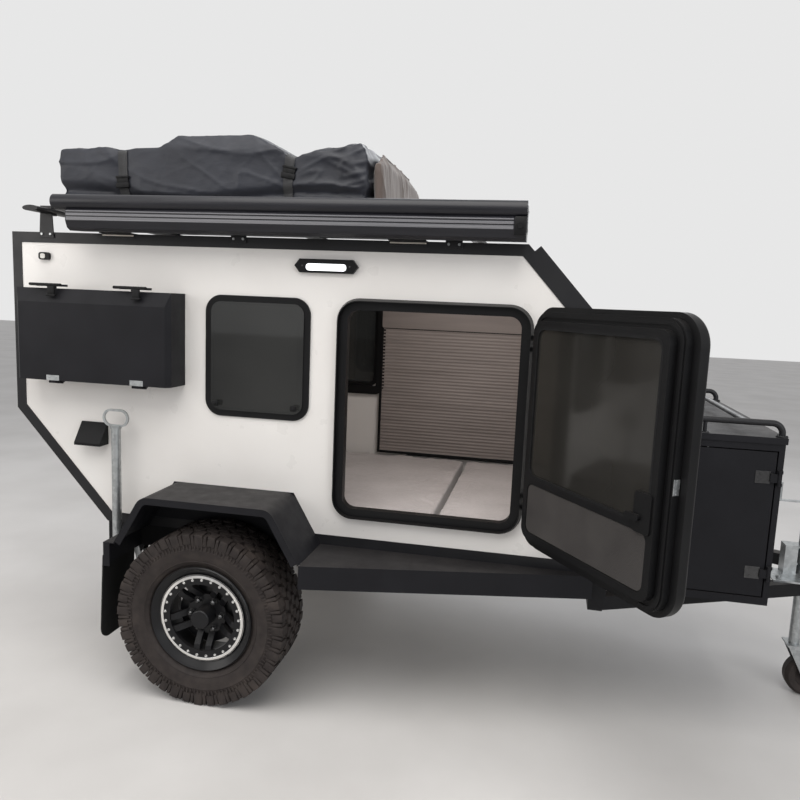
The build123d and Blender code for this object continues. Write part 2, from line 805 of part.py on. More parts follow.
def make_doors():
    """Door leaves in three steps from the skin to the plug, with double panes above a bar."""
    skin_in = -HALF - LIP_PROUD - SEAL_GAP
    skin_out = skin_in - DOOR_SKIN_T
    skin = side_plate(rounded(DOOR_X, DOOR_Z, DOOR_SKIN_W, DOOR_SKIN_H, DOOR_CORNER + 4), skin_out, skin_in)
    leaf = fillet(skin.faces().sort_by(Axis.Y)[0].edges(), DOOR_EDGE_R)
    well_w, well_h = lip_well_size()
    step_w = well_w - 2 * SWING_GAP
    step_h = well_h - 2 * SWING_GAP
    step_r = DOOR_CORNER - LIP_LEAN - LIP_T - SWING_GAP
    step_in = -HALF - FRAME_PROUD - SEAL_GAP
    leaf += side_plate(rounded(DOOR_X, DOOR_Z, step_w, step_h, step_r), skin_in, step_in)
    plug_w = DOOR_FRAME_W - 2 * DOOR_FRAME_RING - 2 * SWING_GAP
    plug_h = DOOR_FRAME_H - 2 * DOOR_FRAME_RING - 2 * SWING_GAP
    plug_r = DOOR_CORNER - DOOR_FRAME_RING - 4
    plug_in = -DOOR_INNER_Y
    leaf += side_plate(rounded(DOOR_X, DOOR_Z, plug_w, plug_h, plug_r), step_in, plug_in)
    seal_out = rounded(DOOR_X, DOOR_Z, step_w - 14, step_h - 14, step_r - 7)
    seal_in = rounded(DOOR_X, DOOR_Z, step_w - 42, step_h - 42, step_r - 21)
    leaf += side_plate(seal_out - seal_in, step_in, step_in + SEAL_GAP - SEAT)
    border = 28
    hole_w = plug_w - 2 * border
    bar_top = DOOR_BAR_Z + DOOR_BAR_H / 2
    hole_top = DOOR_Z + plug_h / 2 - border
    hole_h = hole_top - bar_top
    hole_z = (hole_top + bar_top) / 2
    leaf -= side_plate(rounded(DOOR_X, hole_z, hole_w, hole_h, 30), skin_out - 1, plug_in + 1)
    bar_low = DOOR_BAR_Z - DOOR_BAR_H / 2
    panel_low = DOOR_Z - plug_h / 2 + border
    panel = rounded(DOOR_X, (bar_low + panel_low) / 2, hole_w, bar_low - panel_low, 30)
    leaf -= side_plate(panel, plug_in - 5, plug_in + 1)
    pin_y = -HALF - DOOR_HINGE_OUT
    edge = DOOR_X + DOOR_SKIN_W / 2
    for z in HINGE_ZS:
        z0 = z - HINGE_H / 2
        low = z0 + 16 + SLIP
        high = z0 + HINGE_H - 16 - SLIP
        leaf += block(edge - 20, DOOR_HINGE_X, pin_y - 6, pin_y + 6, low, high)
        leaf += rod((DOOR_HINGE_X, pin_y, low), (DOOR_HINGE_X, pin_y, high), HINGE_R + 4)
        leaf -= rod((DOOR_HINGE_X, pin_y, z0), (DOOR_HINGE_X, pin_y, z0 + HINGE_H), HINGE_R + SLIP / 2)
    lock_x = DOOR_X - plug_w / 2 + 50
    leaf += side_plate(rounded(lock_x, DOOR_BAR_Z + 48, 76, 130, 12), plug_in - 12, plug_in + 6)
    lever = rounded(lock_x + 34, DOOR_BAR_Z + 30, 64, 20, 9)
    leaf += side_plate(lever, plug_in + 6, plug_in + 18)
    latch_x = DOOR_X - step_w / 2
    leaf += block(latch_x - LATCH_PROUD, latch_x + 2, step_in - 20, step_in - 4, LATCH_Z0, LATCH_Z1)
    pane = rounded(DOOR_X, hole_z, hole_w + 36, hole_h + 36, 48)
    outer_pane = side_plate(pane, skin_out - PANE_T, skin_out)
    glass = rounded(DOOR_X, hole_z, hole_w - 2 * SEAT, hole_h - 2 * SEAT, 30 - SEAT)
    lock_space = rounded(lock_x, DOOR_BAR_Z + 48, 76 + 2 * SEAT, 130 + 2 * SEAT, 12)
    inner_pane = side_plate(glass - lock_space, plug_in - 12, plug_in - 12 + PANE_T)
    axis = Axis((DOOR_HINGE_X, pin_y, 0), (0, 0, 1))
    for name, piece in (("door", leaf), ("door_pane", Compound(children=[outer_pane, inner_pane]))):
        nodes[name + "_left"] = mirror(piece, about=Plane.XZ)
        nodes[name + "_right"] = piece.rotate(axis, DOOR_OPEN)


def make_windows():
    """Side windows: a clamped frame and a smoked pane hung on its outside."""
    outer = rounded(WINDOW_X, WINDOW_Z, WINDOW_W, WINDOW_H, WINDOW_CORNER)
    clear_w = WINDOW_W - 2 * WINDOW_RING
    clear_h = WINDOW_H - 2 * WINDOW_RING
    clear_r = WINDOW_CORNER - WINDOW_RING
    clear = rounded(WINDOW_X, WINDOW_Z, clear_w, clear_h, clear_r)
    hole_w, hole_h = window_hole_size()
    liner = rounded(WINDOW_X, WINDOW_Z, hole_w, hole_h, clear_r + FRAME_LINER)
    frame = side_plate(outer - clear, -HALF - FRAME_PROUD, -HALF)
    frame += side_plate(liner - clear, -HALF, -INSIDE)
    inner = rounded(WINDOW_X, WINDOW_Z, WINDOW_W - 20, WINDOW_H - 20, WINDOW_CORNER - 10)
    frame += side_plate(inner - clear, -INSIDE, -INSIDE + FRAME_LINER)
    pair("window_frames", frame)
    pane = rounded(WINDOW_X, WINDOW_Z, clear_w + 20, clear_h + 20, clear_r + 10)
    outside = -HALF - FRAME_PROUD
    pair("window_panes", side_plate(pane, outside - PANE_T, outside))


def make_hatch():
    """The rear hatch, hinged along its top edge."""
    middle = (HATCH_Z0 + HATCH_Z1) / 2
    height = HATCH_Z1 - HATCH_Z0
    skin_in = BODY_REAR - TRIM_T - SEAL_GAP
    skin_out = skin_in - HATCH_T
    hatch = cross_plate(rounded(0, middle, HATCH_W, height, 50), skin_out, skin_in)
    hatch += cross_plate(rounded(0, middle, hatch_plug_w(), hatch_plug_h(), 34),
                         skin_in, BODY_REAR + WALL_T - 4)
    ring = rounded(0, middle, HATCH_W - 24, height - 24, 40)
    ring -= rounded(0, middle, HATCH_W - 60, height - 60, 34)
    hatch += cross_plate(ring, skin_in, skin_in + SEAL_GAP + TRIM_T - SEAT)
    handle = rounded(0, HATCH_Z0 + 90, 160, 60, 12)
    hatch += cross_plate(handle, skin_out - 18, skin_out)
    pin_x = skin_out - 10
    pin_z = HATCH_Z1 + 22
    radius = HATCH_HINGE_R
    arms = []
    for y in (-420, 420):
        hatch += block(skin_out - 8, skin_out, y - 30, y + 30, HATCH_Z1 - 60, pin_z)
        hatch += rod((pin_x, y - 30, pin_z), (pin_x, y + 30, pin_z), radius + 5)
        hatch -= rod((pin_x, y - 31, pin_z), (pin_x, y + 31, pin_z), radius + SLIP / 2)
        for side in (-1, 1):
            inner = y + side * (30 + SLIP)
            outer = y + side * (30 + SLIP + 14)
            low = min(inner, outer)
            high = max(inner, outer)
            arms.append(rod((pin_x, low, pin_z), (pin_x, high, pin_z), radius + 5))
            arms.append(block(pin_x, BODY_REAR, low, high, pin_z - 6, pin_z + 6))
        arms.append(rod((pin_x, y - 31, pin_z), (pin_x, y + 31, pin_z), radius))
    nodes["rear_hatch"] = hatch
    nodes["rear_frame"] = joined([nodes["rear_frame"]] + arms)


def make_inside():
    """Galley with its bulkhead, cupboards, the mattress halves and the far doorway's blind."""
    low = BODY_FLOOR + WALL_T
    high = BODY_TOP - WALL_T
    nodes["bulkhead"] = block(-200, -170, -INSIDE, INSIDE, low, high)
    counter_z = REAR_KNEE_Z + 14
    counter = block(BODY_REAR + WALL_T + 12, -200, -INSIDE, INSIDE, counter_z, counter_z + 25)
    for y in (-INSIDE, -120, 280, INSIDE - 18):
        counter += block(-420, -200, y, y + 18, low, counter_z)
    shelf = block(-460, -200, -INSIDE, INSIDE, 1640, 1970)
    for y0, y1 in ((-INSIDE + 15, -8), (8, INSIDE - 15)):
        shelf -= block(-461, -215, y0, y1, 1655, 1955)
    nodes["galley"] = Compound(children=[counter, shelf])
    cupboard = block(-170, 110, -INSIDE, INSIDE, 1790, high)
    cupboard -= block(-155, 95, -INSIDE + 15, INSIDE - 15, 1805, high - 15)
    for y0, y1 in ((-INSIDE + 40, -30), (30, INSIDE - 40)):
        cupboard -= block(90, 111, y0, y1, 1820, high - 30)
    nodes["cabin_cupboard"] = cupboard
    top = 838
    split = MATTRESS_SPLIT
    back = -170
    front = BODY_FRONT - WALL_T
    side = INSIDE - FRAME_LINER - SLIP
    nodes["mattress_rear"] = block(back + 1, split - SEAT, -side, side, low + SEAT, top)
    nodes["mattress_front"] = block(split + SEAT, front - 1, -side, side, low + SEAT, top)
    wall = INSIDE - FRAME_LINER - SEAT
    blind_z0 = top + 4
    frame = block(BLIND_X0, BLIND_X1, wall - 26, wall, blind_z0, BLIND_Z1)
    frame -= block(BLIND_X0 + 14, BLIND_X1 - 60, wall - 27, wall - 16, blind_z0 + 14, BLIND_Z1 - 130)
    frame -= block(BLIND_X0 + 14, BLIND_X1 - 60, wall - 13, wall + 1, blind_z0 + 14, BLIND_Z1 - 130)
    nodes["doorway_blind"] = frame


def make_side_box():
    """The shallow black box on the right wall, with a lid hinged at its lower edge."""
    outer = -HALF - SIDE_BOX_DEPTH
    base = block(SIDE_BOX_X0, SIDE_BOX_X1, outer, -HALF, SIDE_BOX_Z0, SIDE_BOX_Z1)
    sheet = BOX_SHEET
    base -= block(
        SIDE_BOX_X0 + sheet,
        SIDE_BOX_X1 - sheet,
        outer - 1,
        -HALF - sheet,
        SIDE_BOX_Z0 + sheet,
        SIDE_BOX_Z1 - sheet,
    )
    wide = SIDE_BOX_X1 - SIDE_BOX_X0
    tall = SIDE_BOX_Z1 - SIDE_BOX_Z0
    mid_x = (SIDE_BOX_X0 + SIDE_BOX_X1) / 2
    mid_z = (SIDE_BOX_Z0 + SIDE_BOX_Z1) / 2

    def cover(shrink, depth):
        """The lid's outer or inner form, from its open rim to its face."""
        rim = Pos(mid_x, mid_z) * Rectangle(wide - 2 * shrink, tall - 2 * shrink)
        face_w = wide - 2 * LID_SIDE_SLOPE - 2 * shrink
        face_h = tall - LID_TOP_SLOPE - 2 * shrink
        face = Pos(mid_x, mid_z - LID_TOP_SLOPE / 2) * Rectangle(face_w, face_h)
        start = Plane.XZ.offset(-outer + SEAT)
        return loft([start * rim, start.offset(depth) * face])

    lid = cover(0, LID_DEPTH) - cover(sheet, LID_DEPTH - sheet)
    pin_y = outer + 2
    pin_z = SIDE_BOX_Z0 - 9
    for x in LID_HINGE_XS:
        lid += rod((x, pin_y, pin_z), (x + 26, pin_y, pin_z), 6)
        lid += block(x, x + 26, outer - 16, pin_y, pin_z - 3, pin_z + 3)
        lid += block(x, x + 26, outer - 16, outer - 12, pin_z - 3, SIDE_BOX_Z0 + 12)
        for x0 in (x - 21, x + 27):
            base += rod((x0, pin_y, pin_z), (x0 + 20, pin_y, pin_z), 6)
            base += block(x0, x0 + 20, pin_y, pin_y + 14, pin_z, SIDE_BOX_Z0)
    reach = LATCH_BAR / 2
    for x in LATCH_XS:
        latch = block(x - 9, x + 9, outer - 2, outer + 40, SIDE_BOX_Z1 + SEAT, SIDE_BOX_Z1 + 8)
        latch += block(x - reach, x + reach, outer + 14, outer + 26, SIDE_BOX_Z1 + 8, SIDE_BOX_Z1 + 18)
        base += latch + block(x - 9, x + 9, outer + 26, outer + 40, SIDE_BOX_Z1, SIDE_BOX_Z1 + 8)
    nodes["side_box"] = trim_space(base)
    nodes["side_box_lid"] = lid


def make_wall_fittings():
    """Porch light, small lamp and inlet hood on the right wall, lamps at the rear."""
    light = outline([(-141, 0), (-118, 29), (118, 29), (141, 0), (118, -29), (-118, -29)])
    body = side_plate(Pos(443, 1919) * light, -HALF - 20, -HALF)
    slot = rounded(443, 1914, 180, 30, 14)
    nodes["porch_light"] = body - side_plate(slot, -HALF - 21, -HALF - 12)
    nodes["porch_lens"] = side_plate(rounded(443, 1914, 179, 29, 13.5), -HALF - 18, -HALF - 12)
    nodes["small_lamp"] = side_plate(rounded(-918, 1924, 54, 34, 12), -HALF - 16, -HALF)
    low = Vector(TAIL_X, BODY_FLOOR)
    knee = Vector(BODY_REAR, REAR_KNEE_Z)
    up = (knee - low).normalized()
    out = Vector(-up.Y, up.X)
    corners = []
    end = TAIL_LAMP_AT + TAIL_LAMP_W
    for along, proud in ((TAIL_LAMP_AT, 0), (TAIL_LAMP_AT, TAIL_LAMP_OUT), (end, TAIL_LAMP_OUT), (end, 0)):
        point = low + up * along + out * proud
        corners.append((point.X, point.Y))
    lamp = side_plate(outline(corners), -TAIL_LAMP_Y, -TAIL_LAMP_Y + TAIL_LAMP_L)
    pair("tail_lamps", lamp)
    z0 = 1060
    wedge = outline(
        [
            (-HALF, z0 + 103),
            (-HALF, z0),
            (-HALF - 70, z0),
            (-HALF - 70, z0 + 12),
            (-HALF - 8, z0 + 103),
        ]
    )
    hood = cross_plate(wedge, -742, -609)
    inner = outline(
        [
            (-HALF - 3, z0 + 92),
            (-HALF - 3, z0 - 1),
            (-HALF - 64, z0 - 1),
            (-HALF - 64, z0 + 12),
            (-HALF - 8, z0 + 92),
        ]
    )
    nodes["inlet_hood"] = hood - cross_plate(inner, -737, -614)


def make_drop_legs():
    """Drop legs with a ring handle, each in a socket at the rear end of a chassis rail."""
    y = -HALF - LEG_OUT
    leg = tube((LEG_X, y, LEG_BOTTOM), (LEG_X, y, LEG_TOP - 12), LEG_R, 3)
    leg += rod((LEG_X, y, LEG_TOP - 14), (LEG_X, y, LEG_TOP), LEG_R + 4)
    leg += rod((LEG_X, y, LEG_BOTTOM - 8), (LEG_X, y, LEG_BOTTOM), 45)
    ring = SlotOverall(130, 82) - SlotOverall(110, 62)
    leg += side_plate(Pos(LEG_X, LEG_TOP + 35) * ring, y - 5, y + 5)
    both_sides("drop_leg", leg)
    low = SOCKET_TOP - SOCKET_H
    socket = block(LEG_X - 28, LEG_X + 26, y - 30, -HALF, low, SOCKET_TOP)
    socket += block(LEG_X - 28, LEG_X + 26, -HALF, -HALF + 30, low, RAIL_Z0)
    socket -= rod((LEG_X, y, low - 1), (LEG_X, y, SOCKET_TOP + 1), LEG_R + SLIP)
    pair("leg_sockets", socket)


def make_front_box():
    """The tall box on the drawbar, open at both sides, its two doors, and the rail on top."""
    half = FRONT_BOX_W / 2
    wall = FRONT_BOX_WALL
    box = block(FRONT_BOX_X0, FRONT_BOX_X1, -half, half, FRONT_BOX_Z0, FRONT_BOX_Z1)
    box -= block(
        FRONT_BOX_X0 + wall,
        FRONT_BOX_X1 - wall,
        -half + wall,
        half - wall,
        FRONT_BOX_Z0 + wall,
        FRONT_BOX_Z1 - wall,
    )
    box -= block(BOX_DOOR_X0, BOX_DOOR_X1, -half - 1, half + 1, BOX_DOOR_Z0, BOX_DOOR_Z1)
    rim = 6
    box += block(
        FRONT_BOX_X0 - rim,
        FRONT_BOX_X1 + rim,
        -half - rim,
        half + rim,
        FRONT_BOX_Z1 - 26,
        FRONT_BOX_Z1,
    )
    box -= block(
        FRONT_BOX_X0 + wall,
        FRONT_BOX_X1 - wall,
        -half + wall,
        half - wall,
        FRONT_BOX_Z1 - 27,
        FRONT_BOX_Z1 - wall,
    )
    door = block(
        BOX_DOOR_X0 + SEAL_GAP,
        BOX_DOOR_X1 - SEAL_GAP,
        -half + 2,
        -half + 16,
        BOX_DOOR_Z0 + SEAL_GAP,
        BOX_DOOR_Z1 - SEAL_GAP,
    )
    pin_x = BOX_DOOR_X1 + 8
    pin_y = -half - 8
    for z in (BOX_DOOR_Z0 + 105, BOX_DOOR_Z1 - 110):
        door += block(BOX_DOOR_X1 - 24, pin_x, -half - 9, -half - 5, z - 18, z + 18)
        door += block(BOX_DOOR_X1 - 24, BOX_DOOR_X1 - 12, -half - 9, -half + 2, z - 18, z + 18)
        door += rod((pin_x, pin_y, z - 18), (pin_x, pin_y, z + 18), 6)
        door -= rod((pin_x, pin_y, z - 19), (pin_x, pin_y, z + 19), 3.5)
        pin = rod((pin_x, pin_y, z - 32), (pin_x, pin_y, z + 32), 3)
        for z0 in (z - 32, z + 19):
            pin += rod((pin_x, pin_y, z0), (pin_x, pin_y, z0 + 13), 6)
            pin += block(pin_x, pin_x + 14, pin_y, -half, z0, z0 + 13)
            pin += block(pin_x - 6, pin_x + 6, pin_y, -half, z0, z0 + 13)
        box += pin
        box += mirror(pin, about=Plane.XZ)
    handle = block(BOX_DOOR_X0 + 45, BOX_DOOR_X0 + 85, -half - 8, -half + 2, 900, 1020)
    nodes["front_box"] = box
    both_sides("box_door", door + handle)
    y = half - 22
    x1 = FRONT_BOX_X1 - 12
    x0 = FRONT_BOX_X0 + 30
    top = FRONT_BOX_Z1
    pieces = []
    for side in (-y, y):
        bends = [(x0, side, top), (x0, side, RAIL_Z), (x1, side, RAIL_Z), (x1, side, top)]
        path = FilletPolyline(*bends, radius=40)
        start = Plane(origin=path @ 0, z_dir=path % 0)
        pieces.append(sweep(start * Circle(RAIL_TUBE_R), path=path))
        pieces.append(rod(((x0 + x1) / 2, side, top), ((x0 + x1) / 2, side, RAIL_Z), 8))
        for x in (x0, x1):
            pieces.append(rod((x, side, top), (x, side, top + 5), RAIL_TUBE_R + 10))
    for x in (x0 + 120, x1 - RAIL_CROSS_IN):
        pieces.append(rod((x, -y, RAIL_Z), (x, y, RAIL_Z), RAIL_TUBE_R - 2))
    nodes["box_rail"] = joined(pieces)


def drawbar_y(x):
    """Distance of a drawbar beam's centre line from the trailer's centre line at x."""
    end_x = BODY_FRONT - 40
    return (HALF - RAIL_W / 2) * (APEX_X - x) / (APEX_X - end_x)


def make_drawbar():
    """The A-shaped drawbar under the chassis, with pads for the box and eyes for the chains."""
    z0 = DRAWBAR_TOP - BEAM_SIZE
    start = BODY_FRONT - 40
    half = BEAM_SIZE / 2
    pieces = [block(start - half, start + half, -HALF, HALF, z0, DRAWBAR_TOP)]
    for side in (-1, 1):
        a = Vector(start, side * drawbar_y(start))
        b = Vector(APEX_X, 0)
        run = (b - a).normalized()
        across = Vector(-run.Y, run.X) * half
        corners = []
        for point in (a + across, b + across, b - across, a - across):
            corners.append((point.X, point.Y))
        pieces.append(level_plate(outline(corners), z0, DRAWBAR_TOP))
    nose = outline([(APEX_X - 190, -105), (APEX_X + 20, -45), (APEX_X + 20, 45), (APEX_X - 190, 105)])
    pieces.append(level_plate(nose, DRAWBAR_TOP, DRAWBAR_TOP + 8))
    for x in (FRONT_BOX_X0 + 50, FRONT_BOX_X1 - 60):
        for side in (-1, 1):
            y = side * drawbar_y(x)
            pieces.append(block(x - 40, x + 40, y - 30, y + 30, DRAWBAR_TOP, FRONT_BOX_Z0))
    for side in (-1, 1):
        x = APEX_X - 150
        y = side * drawbar_y(x)
        eye = Pos(x, z0 - 10) * Circle(20) + Pos(x, z0) * Rectangle(40, 20)
        eye -= Pos(x, z0 - 10) * Circle(9)
        pieces.append(side_plate(eye, y - 5, y + 5))
    nodes["drawbar"] = joined(pieces)


def make_coupling():
    """The ball coupling on the nose plate: a tapering body, a cup over the ball, and a lever."""
    base = DRAWBAR_TOP + 8
    body = block(APEX_X - 170, COUPLING_X - 10, -32, 32, base, base + 34)
    cup_top = COUPLING_Z + BALL_R + 24
    cup = rod((COUPLING_X, 0, COUPLING_Z - 12), (COUPLING_X, 0, cup_top), 42)
    neck = block(APEX_X + 20, COUPLING_X, -30, 30, COUPLING_Z + 8, cup_top)
    whole = body + neck + cup
    whole -= Pos(COUPLING_X, 0, COUPLING_Z) * Sphere(BALL_R + 1)
    whole -= rod((COUPLING_X, 0, COUPLING_Z - 13), (COUPLING_X, 0, COUPLING_Z), BALL_R + 1)
    lever = block(COUPLING_X - 150, COUPLING_X + 20, -12, 12, cup_top + 14, cup_top + 22)
    lever += block(COUPLING_X - 150, COUPLING_X - 126, -12, 12, base + 34, cup_top + 22)
    nodes["coupling"] = whole + lever


def fork_top():
    """Top of the jockey wheel's fork."""
    return 2 * JOCKEY_R + 50


def make_jack():
    """The jockey jack: clamp on the drawbar, outer tube, inner tube, fork and wheel."""
    beam_y = -drawbar_y(JACK_X)
    z = DRAWBAR_TOP
    plate = block(JACK_X - 165, JACK_X + 70, beam_y - 70, JACK_Y + JACK_R + 10, z, z + 8)
    plate -= rod((JACK_X, JACK_Y, z - 1), (JACK_X, JACK_Y, z + 9), JACK_R)
    back = JACK_X - 98
    bracket = block(back, back + 55, JACK_Y - 42, JACK_Y + 30, z + 8, z + 148)
    bracket -= block(back + 6, back + 56, JACK_Y - 36, JACK_Y + 24, z + 9, z + 149)
    bracket += block(back, JACK_X, JACK_Y - 42, JACK_Y + 30, z + 142, z + 148)
    bracket += block(back + 6, JACK_X, JACK_Y - 12, JACK_Y + 12, z + 50, z + 142)
    collar = (JACK_X, JACK_Y, z + 60), (JACK_X, JACK_Y, z + 130)
    bracket += rod(*collar, JACK_R + 8)
    outer = tube((JACK_X, JACK_Y, JACK_BOTTOM), (JACK_X, JACK_Y, JACK_TOP), JACK_R, 4)
    outer += rod((JACK_X, JACK_Y, JACK_TOP), (JACK_X, JACK_Y, JACK_TOP + 14), JACK_R + 3)
    bush_end = (JACK_X, JACK_Y, JACK_BOTTOM + 30)
    outer += tube((JACK_X, JACK_Y, JACK_BOTTOM), bush_end, JACK_R, JACK_R - JACK_INNER_R - SEAT)
    bracket -= rod((JACK_X, JACK_Y, z), (JACK_X, JACK_Y, z + 200), JACK_R)
    crank_z = JACK_TOP + 30
    outer += rod((JACK_X, JACK_Y, JACK_TOP + 14), (JACK_X, JACK_Y, crank_z + 8), 9)
    outer += block(JACK_X - 150, JACK_X + 9, JACK_Y - 9, JACK_Y + 9, crank_z, crank_z + 8)
    outer += rod((JACK_X - 140, JACK_Y, crank_z + 8), (JACK_X - 140, JACK_Y, crank_z + 90), 12)
    nodes["jack_body"] = plate + bracket + outer
    top = JACK_BOTTOM + 150
    inner = rod((JACK_X, JACK_Y, fork_top() + SEAT), (JACK_X, JACK_Y, top), JACK_INNER_R)
    nodes["jack_leg"] = inner
    half = JOCKEY_W / 2 + 8
    wheel_x = JACK_X + JOCKEY_TRAIL
    fork = block(JACK_X - 38, wheel_x + 10, JACK_Y - half - 6, JACK_Y + half + 6,
                 fork_top() - 8, fork_top())
    for y in (JACK_Y - half - 6, JACK_Y + half):
        arm = outline(
            [
                (JACK_X - 38, fork_top()),
                (wheel_x + 10, fork_top()),
                (wheel_x + 24, JOCKEY_R - 14),
                (wheel_x - 24, JOCKEY_R - 14),
            ]
        )
        fork += side_plate(arm, y, y + 6)
    reach = half + 14
    fork += rod((wheel_x, JACK_Y - reach, JOCKEY_R), (wheel_x, JACK_Y + reach, JOCKEY_R), 8)
    nodes["jockey_fork"] = fork
    section = [
        (9, -half + 4),
        (26, -half + 4),
        (26, -20),
        (JOCKEY_R - 45, -24),
        (JOCKEY_R - 42, -JOCKEY_W / 2 + 4),
        (JOCKEY_R - 14, -JOCKEY_W / 2),
        (JOCKEY_R, -JOCKEY_W / 2 + 16),
        (JOCKEY_R, JOCKEY_W / 2 - 16),
        (JOCKEY_R - 14, JOCKEY_W / 2),
        (JOCKEY_R - 42, JOCKEY_W / 2 - 4),
        (JOCKEY_R - 45, 24),
        (26, 20),
        (26, half - 4),
        (9, half - 4),
    ]
    wheel = revolve(Plane.XY * outline(section), Axis.Y)
    nodes["jockey_wheel"] = Pos(wheel_x, JACK_Y, JOCKEY_R) * wheel


def make_awning():
    """The rolled awning: a round cassette over the arms' housing, with a cap at its front end."""
    y1 = -HALF - AWNING_IN
    y0 = y1 - AWNING_DEPTH
    z0 = AWNING_Z0
    z1 = z0 + AWNING_H
    roll_r = (AWNING_H - 88) / 2
    face_y = y0 + 8
    housing = outline(
        [
            (y1, z0 + 6),
            (y0 + 40, z0),
            (y0 + 20, z0 + 12),
            (face_y, z0 + 40),
            (face_y, z0 + 84),
            (y0 + 16, z0 + 92),
            (y1, z0 + 92),
        ]
    )
    roll = Pos(y0 + roll_r, z1 - roll_r) * Circle(roll_r)
    cover = outline([(y1, z0 + 80), (y0 + roll_r, z0 + 88), (y0 + roll_r, z1), (y1, z1 - 12)])
    case = cross_plate(housing, AWNING_CASE_X0, AWNING_X1 - 6)
    case += cross_plate(roll + cover, AWNING_X0, AWNING_X1 - 6)
    for z in (z0 + 58, z0 + 74):
        case -= block(AWNING_CASE_X0 - 1, AWNING_X1, face_y - 1, face_y + 2, z, z + 3)
    case += cross_plate(housing + roll + cover, AWNING_X1 - 6, AWNING_X1)
    nodes["awning"] = case


def make_rack():
    """Crossbars on upright plates bolted to the corner trim, and the awning's two brackets."""
    rack = []
    back = -HALF - AWNING_IN
    for x in BAR_XS:
        bar = Pos(x, BAR_Z) * Ellipse(38, 13)
        near_end = -HALF + 4 if x > AWNING_X0 else -HALF - REAR_BAR_OUT
        rack.append(side_plate(bar, near_end, HALF - 4))
        if x > AWNING_X0:
            rack.append(block(x - 28, x + 28, back, -HALF - TRIM_T, BAR_Z - 20, BAR_Z + 14))
        for side in (-1, 1):
            y0 = side * (HALF + TRIM_T)
            y1 = side * (HALF + TRIM_T + 6)
            foot = outline([(x - 37, BODY_TOP - 22), (x + 37, BODY_TOP - 22),
                            (x + 28, RACK_PLATE_TOP), (x - 28, RACK_PLATE_TOP)])
            low = min(y0, y1)
            high = max(y0, y1)
            rack.append(side_plate(foot, low, high))
            inner = side * (HALF - 30)
            rack.append(block(x - 28, x + 28, inner, y1, BAR_Z - 20, BAR_Z + 14))
    wall_y = -HALF - TRIM_T
    top = BODY_TOP + TRIM_T
    for x in BRACKET_XS:
        x0 = x - BRACKET_L / 2
        x1 = x + BRACKET_L / 2
        rack.append(block(x0, x1, wall_y - 3, wall_y, top - 18, top + 3))
        rack.append(block(x0, x1, back, -HALF + 50, top, top + 3))
        rack.append(block(x0, x1, back, back + 3, top, top + 70))
    nodes["roof_rack"] = joined(rack)


def make_tent():
    """The folded roof tent: a hard base on the crossbars, the cover, and the canvas at its end."""
    base_top = TENT_Z0 + 48
    base = block(TENT_X0 + 20, TENT_X1 - 20, -TENT_HALF + 12, TENT_HALF - 12, BAR_Z + 13, base_top)
    nodes["tent_base"] = base
    low = TENT_Z0
    points = [
        (TENT_X0, low),
        (TENT_X0 + 2, TENT_TOP - 20),
        (TENT_X0 + 16, TENT_TOP - 2),
        (-690, TENT_TOP),
        (-458, TENT_TOP + 8),
        (-371, HUMP_TOP - 6),
        (-25, HUMP_TOP),
        (45, HUMP_TOP - 18),
        (195, TENT_TOP - 33),
        (TENT_X1 - 46, TENT_TOP + 20),
        (TENT_X1 - 8, TENT_TOP - 30),
        (TENT_X1, low),
    ]
    cover = side_plate(outline(points), -TENT_HALF, TENT_HALF)
    crown = outline(
        [
            (-TENT_HALF, low),
            (-TENT_HALF, TENT_TOP),
            (-TENT_HALF + 30, HUMP_TOP + 1),
            (TENT_HALF - 80, HUMP_TOP + 1),
            (TENT_HALF, TENT_TOP - 60),
            (TENT_HALF, low),
        ]
    )
    cover &= cross_plate(crown, TENT_X0 - 1, TENT_X1 + 1)
    cover -= block(
        TENT_X0 + 20 - SEAT,
        TENT_X1 - 20 + SEAT,
        -TENT_HALF + 12 - SEAT,
        TENT_HALF - 12 + SEAT,
        low - 1,
        base_top + SEAT,
    )
    nodes["tent_cover"] = cover
    side = TENT_HALF - 25
    end = TENT_X1 + CANVAS_OUT
    bulge = [
        (TENT_X1 - 60, low + 12),
        (end - 14, low + 12),
        (end, low + 70),
        (end - 8, CANVAS_TOP - 70),
        (end - 40, CANVAS_TOP - 8),
        (TENT_X1 - 60, CANVAS_TOP),
    ]
    canvas = side_plate(outline(bulge), -side, side)
    section = outline(
        [
            (-side, low),
            (-side, TENT_TOP - 60),
            (-side + 150, CANVAS_TOP - 10),
            (-40, CANVAS_TOP + 1),
            (side - 200, CANVAS_TOP - 20),
            (side, TENT_TOP - 80),
            (side, low),
        ]
    )
    canvas &= cross_plate(section, TENT_X1 - 61, end + 1)
    nodes["tent_canvas"] = canvas - block(TENT_X0, TENT_X1 + SEAT, -TENT_HALF, TENT_HALF, low, HUMP_TOP)


def main():
    make_panels()
    make_walls()
    make_brow_cover()
    make_chassis()
    make_springs()
    make_axle()
    make_tyres()
    make_rims()
    make_fenders()
    make_boards()
    make_door_frames()
    make_doors()
    make_windows()
    make_hatch()
    make_inside()
    make_side_box()
    make_wall_fittings()
    make_drop_legs()
    make_front_box()
    make_drawbar()
    make_coupling()
    make_jack()
    make_awning()
    make_rack()
    make_tent()
    os.makedirs("parts", exist_ok=True)
    for name, piece in nodes.items():
        placed = Pos(-ORIGIN[0], -ORIGIN[1], -ORIGIN[2]) * piece
        export_step(placed, "parts/" + name + ".step")


main()
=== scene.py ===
import math

import bmesh
import bpy
from mathutils import Matrix, Vector, noise
from mathutils.bvhtree import BVHTree


